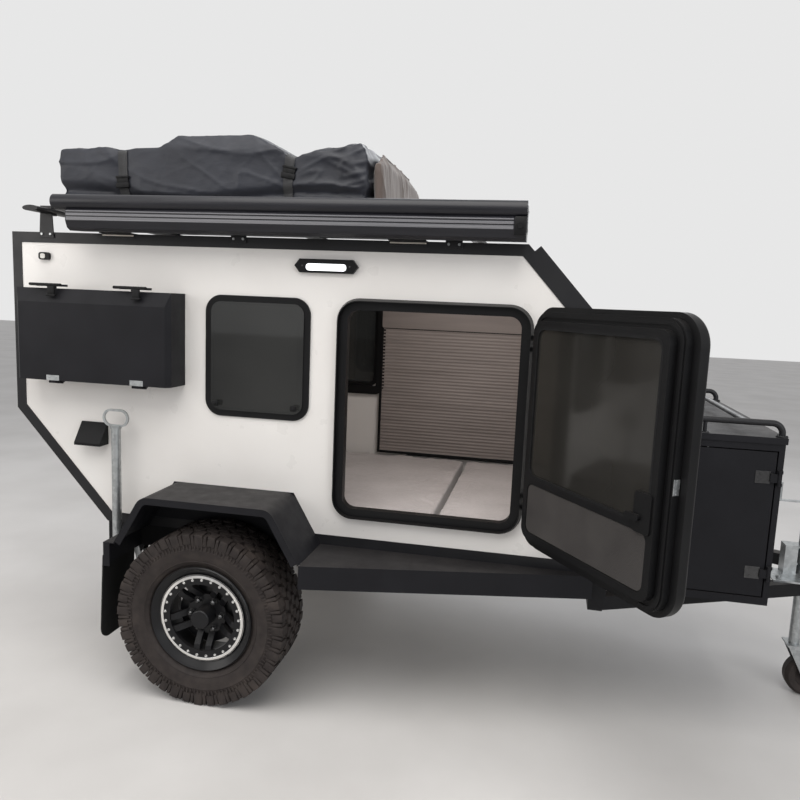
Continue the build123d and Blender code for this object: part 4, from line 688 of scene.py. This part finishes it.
def skin_of(name, node, cell, drawn_in):
    """The CAD solid's skin, merged, divided into even squares and drawn in a little."""
    mesh = nodes[node].data.copy()
    mesh.name = name
    work = bmesh.new()
    work.from_mesh(mesh)
    bmesh.ops.remove_doubles(work, verts=work.verts, dist=0.00005)
    bmesh.ops.recalc_face_normals(work, faces=work.faces[:])
    work.to_mesh(mesh)
    work.free()
    skin = bpy.data.objects.new(name, mesh)
    bpy.context.scene.collection.objects.link(skin)
    even = skin.modifiers.new("even", "REMESH")
    even.mode = "VOXEL"
    even.voxel_size = cell
    keep_shape(skin)
    push(skin, [-drawn_in] * len(skin.data.vertices))
    return skin


def push(piece, depths):
    """Moves each point of the cloth out along its normal by its own depth."""
    normals = [vertex.normal.copy() for vertex in piece.data.vertices]
    for vertex, normal, depth in zip(piece.data.vertices, normals, depths):
        vertex.co += normal * depth


def keep_shape(piece):
    """Applies the piece's modifiers."""
    depsgraph = bpy.context.evaluated_depsgraph_get()
    mesh = bpy.data.meshes.new_from_object(piece.evaluated_get(depsgraph), depsgraph=depsgraph)
    piece.modifiers.clear()
    piece.data = mesh


def swell(piece, pressure, most):
    """Fills the cloth with a soft pressure, no point moving further than the most, and keeps it."""
    scene = bpy.context.scene
    cloth = piece.modifiers.new("fill", "CLOTH")
    cloth.settings.quality = 4
    cloth.settings.mass = 0.3
    cloth.settings.tension_stiffness = 12
    cloth.settings.compression_stiffness = 12
    cloth.settings.shear_stiffness = 5
    cloth.settings.bending_stiffness = 0.3
    cloth.settings.use_pressure = True
    cloth.settings.uniform_pressure_force = pressure
    cloth.settings.effector_weights.gravity = 0
    cloth.collision_settings.use_collision = False
    cloth.point_cache.frame_start = 1
    cloth.point_cache.frame_end = 20
    for step in range(1, 21):
        scene.frame_set(step)
    depsgraph = bpy.context.evaluated_depsgraph_get()
    filled = [vertex.co.copy() for vertex in piece.evaluated_get(depsgraph).data.vertices]
    piece.modifiers.clear()
    for vertex, end in zip(piece.data.vertices, filled):
        move = end - vertex.co
        if move.length > most:
            move *= most / move.length
        vertex.co += move
    scene.frame_set(1)


def finer(piece):
    """Divides each square of the cloth in four, smoothly."""
    smooth = piece.modifiers.new("finer", "SUBSURF")
    smooth.levels = 1
    smooth.render_levels = 1
    keep_shape(piece)


def clothed(piece, finish):
    """Gives the cloth its finish."""
    piece.data.materials.clear()
    piece.data.materials.append(finish)
    piece.data.shade_smooth()


def ridge(point, scale, turn=0.0, seed=0.0):
    """A line of creases: 1 on a crease's crest, falling away on both sides."""
    x = point.x * math.cos(turn) + point.y * math.sin(turn)
    y = point.y * math.cos(turn) - point.x * math.sin(turn)
    spot = Vector((x * scale[0], y * scale[1], point.z * scale[2] + seed))
    return 1 - 2 * min(0.5, abs(noise.noise(spot)))


def inside(piece, node, slack):
    """Keeps the cloth in the room its solid holds, and lets it stand this far proud of it."""
    low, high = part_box(node)
    for vertex in piece.data.vertices:
        for axis in range(3):
            vertex.co[axis] = min(max(vertex.co[axis], low[axis] - slack[axis]), high[axis] + slack[axis])


satin_cloth = blank_finish("satin_cloth", 0.5, Sheen_Weight=0.35)
tone = cloud(satin_cloth, 4, 6)
vary(satin_cloth, "Base Color", tone, (0.36, 0.325, 0.315), (0.46, 0.42, 0.41))
vary(satin_cloth, "Roughness", cloud(satin_cloth, 40, 4), 0.42, 0.58)
woven = relief(satin_cloth, stripes(satin_cloth, 420.0, 0.4), 0.0002, 0.4)
relief(satin_cloth, cloud(satin_cloth, 26, 6, (1, 0.5, 1), (0, 0, 0.7)), 0.004, 0.35, woven)

for number, node in enumerate(MATTRESS_PARTS):
    pad = skin_of("cushion_" + node.split("_")[1], node, 0.015, 0.004)
    swell(pad, 4, 0.010)
    finer(pad)
    low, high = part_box(node)
    for vertex in pad.data.vertices:
        up = max(0.0, min(1.0, (vertex.co.z - high.z + CREASED_DEPTH) / CREASED_DEPTH))
        long_crease = ridge(vertex.co, (3.2, 9.0, 1.0), 0.9 + 0.5 * number, 4.1 + number)
        short_crease = ridge(vertex.co, (7.0, 15.0, 1.0), -0.6, 1.7 + number)
        depth = 0.008 * long_crease ** 6 + 0.004 * short_crease ** 4
        vertex.co.z += up * (depth - 0.005)
        edge = min(abs(vertex.co.y - low.y), abs(vertex.co.y - high.y))
        vertex.co.z -= up * SEAM_DROP * max(0.0, 1 - edge / SEAM_WIDE) ** 2
    inside(pad, node, (0, 0, 0.002))
    clothed(pad, satin_cloth)
    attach(pad, "trailer")
    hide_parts(node)


# Lamps on the right wall: the porch light is a moulded bezel screwed over a frosted strip, which
# is lit. A small clearance lamp with a clear lens sits at the rear.
lit = blank_finish("lit_strip", 0.4, Emission_Strength=1.5)
lit.node_tree.nodes["Principled BSDF"].inputs["Emission Color"].default_value = (0.95, 0.97, 1, 1)
vary(lit, "Base Color", cloud(lit, 40, 2), 0.85, 0.95)
dress(lit, "porch_lens")

clear_lens = blank_finish("clear_lens", 0.12, Coat_Weight=0.6)
prisms = add(clear_lens, "ShaderNodeTexChecker", Vector=place_of(clear_lens), Scale=260)
bright = mixed(clear_lens, prisms.outputs["Fac"], (0.32, 0.31, 0.28), (0.55, 0.54, 0.50))
wire(clear_lens, "Base Color", bright)

lamp_glass = bmesh.new()
plate(lamp_glass, at(-0.934, -0.7185, 1.913), at(-0.910, -0.7140, 1.935), 0.006)
finished("small_lamp_lens", lamp_glass, clear_lens, "trailer")

bezel_screws = bmesh.new()
for x in (0.338, 0.548):
    stud(bezel_screws, at(x, -0.7192, 1.919), Vector((0, -1, 0)), 0.009, 0.0012, 16)
finished("porch_light_screws", bezel_screws, black_steel, "trailer")


# Side box: its lid hangs on two zinc hinges along the bottom and closes with two rubber T-handle
# pulls over keepers on the top edge.
PULL_XS = (-0.811, -0.397)
BOX_HINGE_XS = (-0.788, -0.373)
LID_FACE = -0.845

for number, x in enumerate(PULL_XS, 1):
    pull = bmesh.new()
    slab(pull, at(x - 0.080, LID_FACE - 0.012, 1.787), at(x + 0.080, LID_FACE + 0.002, 1.800), 0.005)
    slab(pull, at(x + 0.012, LID_FACE - 0.010, 1.748), at(x + 0.046, LID_FACE, 1.790), 0.004)
    slab(pull, at(x + 0.006, LID_FACE - 0.014, 1.742), at(x + 0.052, LID_FACE, 1.752), 0.004)
    finished("lid_pull_%d" % number, pull, gasket_rubber, "side_lid")

box_hinges = bmesh.new()
for x in BOX_HINGE_XS:
    slab(box_hinges, at(x - 0.032, LID_FACE - 0.0018, 1.366), at(x + 0.032, LID_FACE, 1.390), 0.0006, 1)
    for shift in (-0.020, 0.020):
        stud(box_hinges, at(x + shift, LID_FACE - 0.0018, 1.379), Vector((0, -1, 0)), 0.008, 0.0015, 12)
finished("lid_hinges", box_hinges, zinc, "side_lid")


# Awning: an extruded aluminium case, anthracite powder coat, with the fabric rolled in its upper
# half and the arms folded in the lower. A cast cap closes its front end, with a winding eye.
AWNING_FACE = -0.864
BAND_REAR = -0.690
BAND_FRONT = 1.230
BAND_LINES = ((2.0735, 2.0875), (2.0925, 2.1035), (2.1090, 2.1145))

anthracite = blank_finish("anthracite", 0.34, Specular_IOR_Level=0.3)
drawn = cloud(anthracite, 60, 4, (0.05, 1, 1))
vary(anthracite, "Base Color", drawn, (0.010, 0.010, 0.013), (0.017, 0.017, 0.021))
vary(anthracite, "Roughness", drawn, 0.28, 0.42)
relief(anthracite, drawn, 0.0002, 0.4)
dress(anthracite, "awning")

# Painted highlights: three thin lighter grey strips laid along the case's lower faces, where light catches
# them.
painted_highlight = blank_finish("painted_highlight_band", 0.42, 0.2, Specular_IOR_Level=0.3)
lines = cloud(painted_highlight, 90, 4, (0.02, 1, 3))
vary(painted_highlight, "Base Color", lines, (0.115, 0.114, 0.122), (0.175, 0.174, 0.184))
relief(painted_highlight, lines, 0.0002, 0.4)

band = bmesh.new()
for low_z, high_z in BAND_LINES:
    foot = at(BAND_REAR, AWNING_FACE - 0.0012, low_z)
    slab(band, foot, at(BAND_FRONT, AWNING_FACE + 0.0006, high_z), 0.0005, 1)
finished("awning_painted_highlights", band, painted_highlight, "trailer")

cap_trim = bmesh.new()
slab(cap_trim, at(1.234, AWNING_FACE - 0.004, 2.050), at(1.279, AWNING_FACE + 0.010, 2.122), 0.003)
stud(cap_trim, at(1.256, AWNING_FACE - 0.003, 2.087), Vector((0, -1, 0)), 0.026, 0.004, 24)
slab(cap_trim, at(1.272, -0.853, 2.062), at(1.2815, -0.756, 2.166), 0.003)
for y, z in ((-0.842, 2.078), (-0.768, 2.078), (-0.768, 2.150)):
    stud(cap_trim, at(1.2805, y, z), Vector((1, 0, 0)), 0.011, 0.002, 16)
finished("awning_end_trim", cap_trim, moulding, "trailer")

bare = blank_finish("bare_bracket_edge", 0.4, 0.8)
streak = cloud(bare, 40, 4, (0.2, 1, 1))
vary(bare, "Base Color", streak, (0.42, 0.38, 0.33), (0.62, 0.58, 0.52))
relief(bare, streak, 0.0002, 0.4)

edges = bmesh.new()
for low_x, high_x in ((-0.620, -0.464), (0.715, 0.870)):
    slab(edges, at(low_x, -0.7075, 2.0225), at(high_x, -0.7058, 2.0285), 0.0005, 1)
finished("bracket_bare_edges", edges, bare, "trailer")


# Roof tent: folded flat on an aluminium base under a blue-black coated cover. Straps with side
# buckles draw the cover in, and the tent's brown canvas bulges out of its front end.
COVER_LOW = 2.148
CREASES = (
    # stretch, start and slant of the creases, their height at the rear, more at the front, sharpness
    ((1.6, 1.2, 6.5), 2.3, 0.0, 0.0075, 0.0, 5),
    ((4.5, 3.0, 11.0), 7.7, 0.35, 0.004, 0.005, 4),
    ((9.0, 6.0, 17.0), 5.1, -0.5, 0.001, 0.006, 3),
)
TUCK_HEIGHT = 2.232
TUCK_WIDE = 0.026
STRAP_WIDE = 0.046
DENT_DEPTH = 0.012
DENT_WIDE = 0.045
STRAPS = (
    # place of the strap along the cover at its base and at its top, and the buckle's height
    (-0.640, -0.652, 2.300),
    (0.150, 0.210, 2.352),
)

coated = blank_finish("coated_cover_cloth", 0.44, Specular_IOR_Level=0.3)
faded = cloud(coated, 5, 6)
vary(coated, "Base Color", faded, (0.012, 0.013, 0.018), (0.024, 0.026, 0.034))
vary(coated, "Roughness", cloud(coated, 18, 5), 0.38, 0.54)
fine = relief(coated, stripes(coated, 260.0, 0.6), 0.0002, 0.35)
relief(coated, cloud(coated, 34, 7, (0.6, 1, 1.3)), 0.004, 0.35, fine)

canvas_brown = blank_finish("canvas_brown", 0.85, Sheen_Weight=0.25)
tone = cloud(canvas_brown, 9, 6, (1, 1, 0.4))
vary(canvas_brown, "Base Color", tone, (0.068, 0.050, 0.042), (0.100, 0.076, 0.065))
relief(canvas_brown, stripes(canvas_brown, 500.0, 0.5), 0.0003, 0.5)

webbing = blank_finish("strap_webbing", 0.7, Sheen_Weight=0.2)
ribs = stripes(webbing, 320.0, 0.3, "Z")
vary(webbing, "Base Color", ribs, (0.006, 0.006, 0.007), (0.015, 0.015, 0.017), 0.2, 0.8)
relief(webbing, ribs, 0.0005, 0.7)

cover = skin_of("tent_cover_cloth", "tent_cover", 0.0155, 0.003)
swell(cover, 4, 0.014)
finer(cover)
depths = []
for vertex in cover.data.vertices:
    place = vertex.co - at(0, 0, 0)
    front = max(0.0, min(1.0, (place.x - 0.10) / 0.35))
    high_up = max(0.0, min(1.0, (place.z - COVER_LOW - 0.01) / 0.05))
    depth = -0.006
    for stretch, start, slant, rear, more, sharpness in CREASES:
        crease = ridge(place + Vector((0, 0, slant * place.x)), stretch, 0.0, start)
        depth += (rear + more * front) * crease**sharpness
    tuck_line = TUCK_HEIGHT + 0.02 * math.sin(5 * place.x)
    tuck = math.exp(-(((place.z - tuck_line) / TUCK_WIDE) ** 2))
    depth -= (0.024 - 0.012 * front) * tuck
    for foot, head, _ in STRAPS:
        line = foot + (head - foot) * (place.z - COVER_LOW) / 0.35
        depth -= DENT_DEPTH * math.exp(-(((place.x - line) / DENT_WIDE) ** 2))
    depths.append(depth * high_up)
push(cover, depths)
inside(cover, "tent_cover", (0.012, 0.012, 0.0))
clothed(cover, coated)
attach(cover, "trailer")
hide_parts("tent_cover")

bulge = skin_of("tent_canvas_cloth", "tent_canvas", 0.013, 0.004)
swell(bulge, 3, 0.008)
finer(bulge)
depths = []
for vertex in bulge.data.vertices:
    place = vertex.co - at(0, 0, 0)
    hang = ridge(place + Vector((0, 0.25 * place.z, 0)), (2.0, 6.0, 1.4), 0.0, 3.3)
    tuck = ridge(place, (3.0, 24.0, 5.0), 0.0, 6.1)
    depths.append(0.008 * hang**3 + 0.002 * tuck**3 - 0.004)
push(bulge, depths)
inside(bulge, "tent_canvas", (0.006, 0.010, 0.004))
clothed(bulge, canvas_brown)
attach(bulge, "trailer")
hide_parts("tent_canvas")

cover_skin = BVHTree.FromPolygons(
    [vertex.co for vertex in cover.data.vertices], [face.vertices for face in cover.data.polygons]
)


def on_cover(foot, head, across, angle):
    """The point of the cover that a ray towards its middle meets, on a strap's slanting line."""
    out = Vector((0, -math.cos(angle), math.sin(angle)))
    level = 0.17 + 0.17 * max(0.0, math.sin(angle))
    x = foot + (head - foot) * min(1.0, level / 0.34) + across
    middle = at(x, 0, COVER_LOW + 0.10)
    hit = cover_skin.ray_cast(middle + out * 1.2, -out)[0]
    return (hit if hit is not None else middle + out * 0.5), out


for number, (foot, head, buckle) in enumerate(STRAPS, 1):
    strap = bmesh.new()
    bmesh.ops.create_grid(strap, x_segments=4, y_segments=150, size=0.5)
    for vert in strap.verts:
        angle = math.radians(-9.5 + 199 * (vert.co.y + 0.5))
        point, out = on_cover(foot, head, vert.co.x * STRAP_WIDE, angle)
        vert.co = point + out * 0.0035
    bmesh.ops.smooth_vert(
        strap, verts=strap.verts[:], factor=0.5, use_axis_x=False, use_axis_y=True, use_axis_z=True
    )
    bmesh.ops.solidify(strap, geom=strap.faces[:], thickness=-0.002)
    finished("cover_strap_%d" % number, strap, webbing, "trailer", 60)

    level = (buckle - COVER_LOW - 0.10) / 0.53
    spot, out = on_cover(foot, head, 0, math.asin(level))
    clip = bmesh.new()
    slab(clip, Vector((-0.034, -0.010, -0.030)), Vector((0.034, 0.004, -0.006)), 0.004)
    slab(clip, Vector((-0.030, -0.008, -0.010)), Vector((0.030, 0.003, 0.016)), 0.004)
    slab(clip, Vector((-0.034, -0.010, 0.014)), Vector((0.034, 0.004, 0.026)), 0.004)
    lean = Matrix.Rotation(math.atan((head - foot) / 0.3), 4, "Y")
    clip.transform(Matrix.Translation(spot + Vector((0, -0.006, 0))) @ lean)
    finished("strap_buckle_%d" % number, clip, gasket_rubber, "trailer")


# Roof rack: three crossbars on upright plates, bolted down to the corner trim.
RACK_XS = (-0.905, 0.040, 0.985)
RACK_BOLT_HEIGHT = 2.024

rack_bolts = bmesh.new()
for x in RACK_XS:
    for side in (-1, 1):
        for shift in (-0.022, 0.022):
            foot = at(x + shift, side * 0.709, RACK_BOLT_HEIGHT)
            stud(rack_bolts, foot, Vector((0, side, 0)), 0.013, 0.005)
finished("rack_bolts", rack_bolts, zinc, "trailer")


# Front box: its doors hang on two black steel hinges at their front edge and close with a bar
# handle on a moulded plate with a lock. The rail on top is bent tube on round feet, bolted down.
BOX_SIDE = 0.613
PLATE_THICK = 0.0025
BOX_HINGE_ZS = (0.737, 1.140)
BOX_LATCH_MIDDLE = (1.855, 0.954)
RAIL_FEET = (
    # place along the box, height above the ground, width, bolt circle
    (1.750, 1.3095, 0.046, 0.0182),
    (2.045, 1.305, 0.042, 0.0148),
    (2.340, 1.3095, 0.046, 0.0182),
)

for side, hand in ((-1, "right"), (1, "left")):
    out = Vector((0, side, 0))
    face = side * BOX_SIDE
    top = side * (BOX_SIDE + PLATE_THICK)
    hinges = bmesh.new()
    for z in BOX_HINGE_ZS:
        slab(hinges, at(2.250, face, z - 0.026), at(2.308, top, z + 0.026), 0.0006, 1)
        for shift in (-0.015, 0.015):
            stud(hinges, at(2.270, top, z + shift), out, 0.010, 0.002, 16)
    finished("box_hinges_" + hand, hinges, black_steel, "front_box_door_" + hand)

    latch = bmesh.new()
    x, z = BOX_LATCH_MIDDLE
    plate(latch, at(x - 0.033, face, z - 0.082), at(x + 0.033, top, z + 0.082), 0.012)
    stud(latch, at(x, top, z - 0.068), out, 0.014, 0.004, 24)
    for shift in (-0.026, 0.026):
        for rise in (-0.074, 0.074):
            stud(latch, at(x + shift, top, z + rise), out, 0.006, 0.0015, 12)
    finished("box_latch_" + hand, latch, moulding, "front_box_door_" + hand)

rail_feet = bmesh.new()
for side in (-1, 1):
    for x, level, across, spread in RAIL_FEET:
        foot = at(x, side * 0.593, level)
        stud(rail_feet, foot, Vector((0, 0, 1)), across, 0.002, 32, 0.96)
        for turn in (0.8, 2.4, 4.0, 5.6):
            spot = foot + Vector((math.cos(turn) * spread, math.sin(turn) * spread, 0.002))
            stud(rail_feet, spot, Vector((0, 0, 1)), 0.007, 0.003)
finished("rail_feet", rail_feet, satin, "trailer")


# Jack: a galvanised tube jack with a side crank, held to the drawbar by a clamp plate with four
# bolts. Its jockey wheel is one piece of rubber on a steel fork.
CLAMP_BOLTS = ((2.505, -0.112), (2.505, -0.225), (2.692, -0.112), (2.692, -0.205))
CLAMP_TOP = 0.595

jack_bolts = bmesh.new()
for x, y in CLAMP_BOLTS:
    stud(jack_bolts, at(x, y, CLAMP_TOP), Vector((0, 0, 1)), 0.020, 0.010)
for z in (0.664, 0.700):
    stud(jack_bolts, at(2.640, -0.166, z), Vector((0, -1, 0)), 0.017, 0.011)
finished("jack_bolts", jack_bolts, zinc, "trailer")


# Tail: red lamps let into the sloping tail panel, and a hatch with a rubber edge seal. Its turning
# handle sits on a raised base plate.
HATCH_SKIN = -1.107

tail_red = blank_finish("tail_lamp_red", 0.16, Coat_Weight=0.7, Coat_Roughness=0.05)
facets = add(tail_red, "ShaderNodeTexVoronoi", Vector=place_of(tail_red), Scale=120)
facet_depth = facets.outputs["Distance"]
vary(tail_red, "Base Color", facet_depth, (0.42, 0.012, 0.010), (0.20, 0.004, 0.004), 0.1, 0.6)
relief(tail_red, facet_depth, 0.001, 0.4)
dress(tail_red, "tail_lamps")

grip = bmesh.new()
slab(grip, at(HATCH_SKIN - 0.003, -0.095, 1.308), at(HATCH_SKIN, 0.095, 1.396), 0.001)
slab(grip, at(HATCH_SKIN - 0.022, -0.074, 1.328), at(HATCH_SKIN - 0.017, 0.074, 1.376), 0.002)
stud(grip, at(HATCH_SKIN - 0.022, 0, 1.340), Vector((-1, 0, 0)), 0.016, 0.004, 24)
finished("hatch_grip", grip, moulding, "hatch")

hatch_seal = bmesh.new()
plate(hatch_seal, Vector((-0.614, 0, 1.268)), Vector((0.614, 0.0025, 1.966)), 0.044, 0.012)
hatch_seal.transform(Matrix.Translation(at(HATCH_SKIN, 0, 0)) @ Matrix.Rotation(math.radians(90), 4, "Z"))
finished("hatch_edge_seal", hatch_seal, gasket_rubber, "hatch")


# Yard: a plain pale floor, soft light and the camera where the photographer stood, low by the
# right wall and level with the door's window.
YARD_HALF = 30
LENS_LENGTH = 32.417
LENS_RISE = 0.00625
CAMERA_PLACE = (-1.8181, -3.7074, 1.2160)
CAMERA_RIGHT = (0.97891, 0.20000, 0.04174)
CAMERA_UP = (-0.06849, 0.12873, 0.98931)
CAMERA_BACK = (0.19249, -0.97130, 0.13972)

pale = blank_finish("pale_floor", 0.6)
vary(pale, "Base Color", cloud(pale, 1.4, 6), (0.50, 0.485, 0.47), (0.58, 0.565, 0.55))
ground = bmesh.new()
bmesh.ops.create_grid(ground, x_segments=1, y_segments=1, size=YARD_HALF)
bmesh.ops.translate(ground, verts=ground.verts, vec=at(1.2, 0, 0))
floor_mesh = bpy.data.meshes.new("yard_floor")
ground.to_mesh(floor_mesh)
ground.free()
floor_mesh.materials.append(pale)
floor = bpy.data.objects.new("yard_floor", floor_mesh)
bpy.context.scene.collection.objects.link(floor)

world = bpy.data.worlds.new("studio")
bpy.context.scene.world = world
world.use_nodes = True
tree = world.node_tree
backdrop = tree.nodes["Background"]
backdrop.inputs["Color"].default_value = (0.80, 0.80, 0.80, 1)
backdrop.inputs["Strength"].default_value = 1.0
fill = tree.nodes.new("ShaderNodeBackground")
fill.inputs["Color"].default_value = (0.96, 0.97, 1.0, 1)
fill.inputs["Strength"].default_value = 0.55
rays = tree.nodes.new("ShaderNodeLightPath")
seen = tree.nodes.new("ShaderNodeMath")
seen.operation = "MAXIMUM"
tree.links.new(rays.outputs["Is Camera Ray"], seen.inputs[0])
tree.links.new(rays.outputs["Is Transmission Ray"], seen.inputs[1])
mirrored = tree.nodes.new("ShaderNodeMath")
mirrored.operation = "MAXIMUM"
tree.links.new(seen.outputs[0], mirrored.inputs[0])
tree.links.new(rays.outputs["Is Glossy Ray"], mirrored.inputs[1])
blend = tree.nodes.new("ShaderNodeMixShader")
tree.links.new(mirrored.outputs[0], blend.inputs["Fac"])
tree.links.new(fill.outputs[0], blend.inputs[1])
tree.links.new(backdrop.outputs[0], blend.inputs[2])
tree.links.new(blend.outputs[0], tree.nodes["World Output"].inputs["Surface"])


def soft_lamp(name, place, target, size, watts, colour):
    """A square studio lamp that looks at a point."""
    lamp = bpy.data.lights.new(name, "AREA")
    lamp.size = size
    lamp.energy = watts
    lamp.color = colour
    holder = bpy.data.objects.new(name, lamp)
    bpy.context.scene.collection.objects.link(holder)
    holder.location = place
    holder.rotation_mode = "QUATERNION"
    holder.rotation_quaternion = (target - place).to_track_quat("-Z", "Y")


soft_lamp("hall_roof_light", at(0.4, -2.6, 5.2), at(0.6, -0.4, 1.0), 4.5, 250, (1.0, 0.98, 0.95))
soft_lamp("hall_door_light", at(-4.5, -4.0, 3.0), at(0.2, -0.7, 1.0), 3.0, 90, (1.0, 0.97, 0.93))
soft_lamp("hall_side_light", at(5.0, -4.5, 2.6), at(1.4, -0.6, 1.0), 3.0, 80, (0.95, 0.97, 1.0))
soft_lamp("cabin_light", at(0.95, -0.15, 1.93), at(0.85, 0.25, 0.9), 0.5, 6, (1.0, 0.95, 0.92))
soft_lamp("hall_back_light", at(1.0, 5.0, 4.5), at(0.6, 0.4, 1.2), 4.0, 130, (0.95, 0.97, 1.0))

lens = bpy.data.cameras.new("photographer")
lens.sensor_width = 36
lens.lens = LENS_LENGTH
lens.shift_y = LENS_RISE
lens.clip_start = 0.05
lens.clip_end = 100
camera = bpy.data.objects.new("photographer", lens)
bpy.context.scene.collection.objects.link(camera)
facing = Matrix((CAMERA_RIGHT, CAMERA_UP, CAMERA_BACK)).transposed()
camera.matrix_world = Matrix.Translation(CAMERA_PLACE) @ facing.to_4x4()
bpy.context.scene.camera = camera
bpy.context.scene.view_settings.view_transform = "Standard"
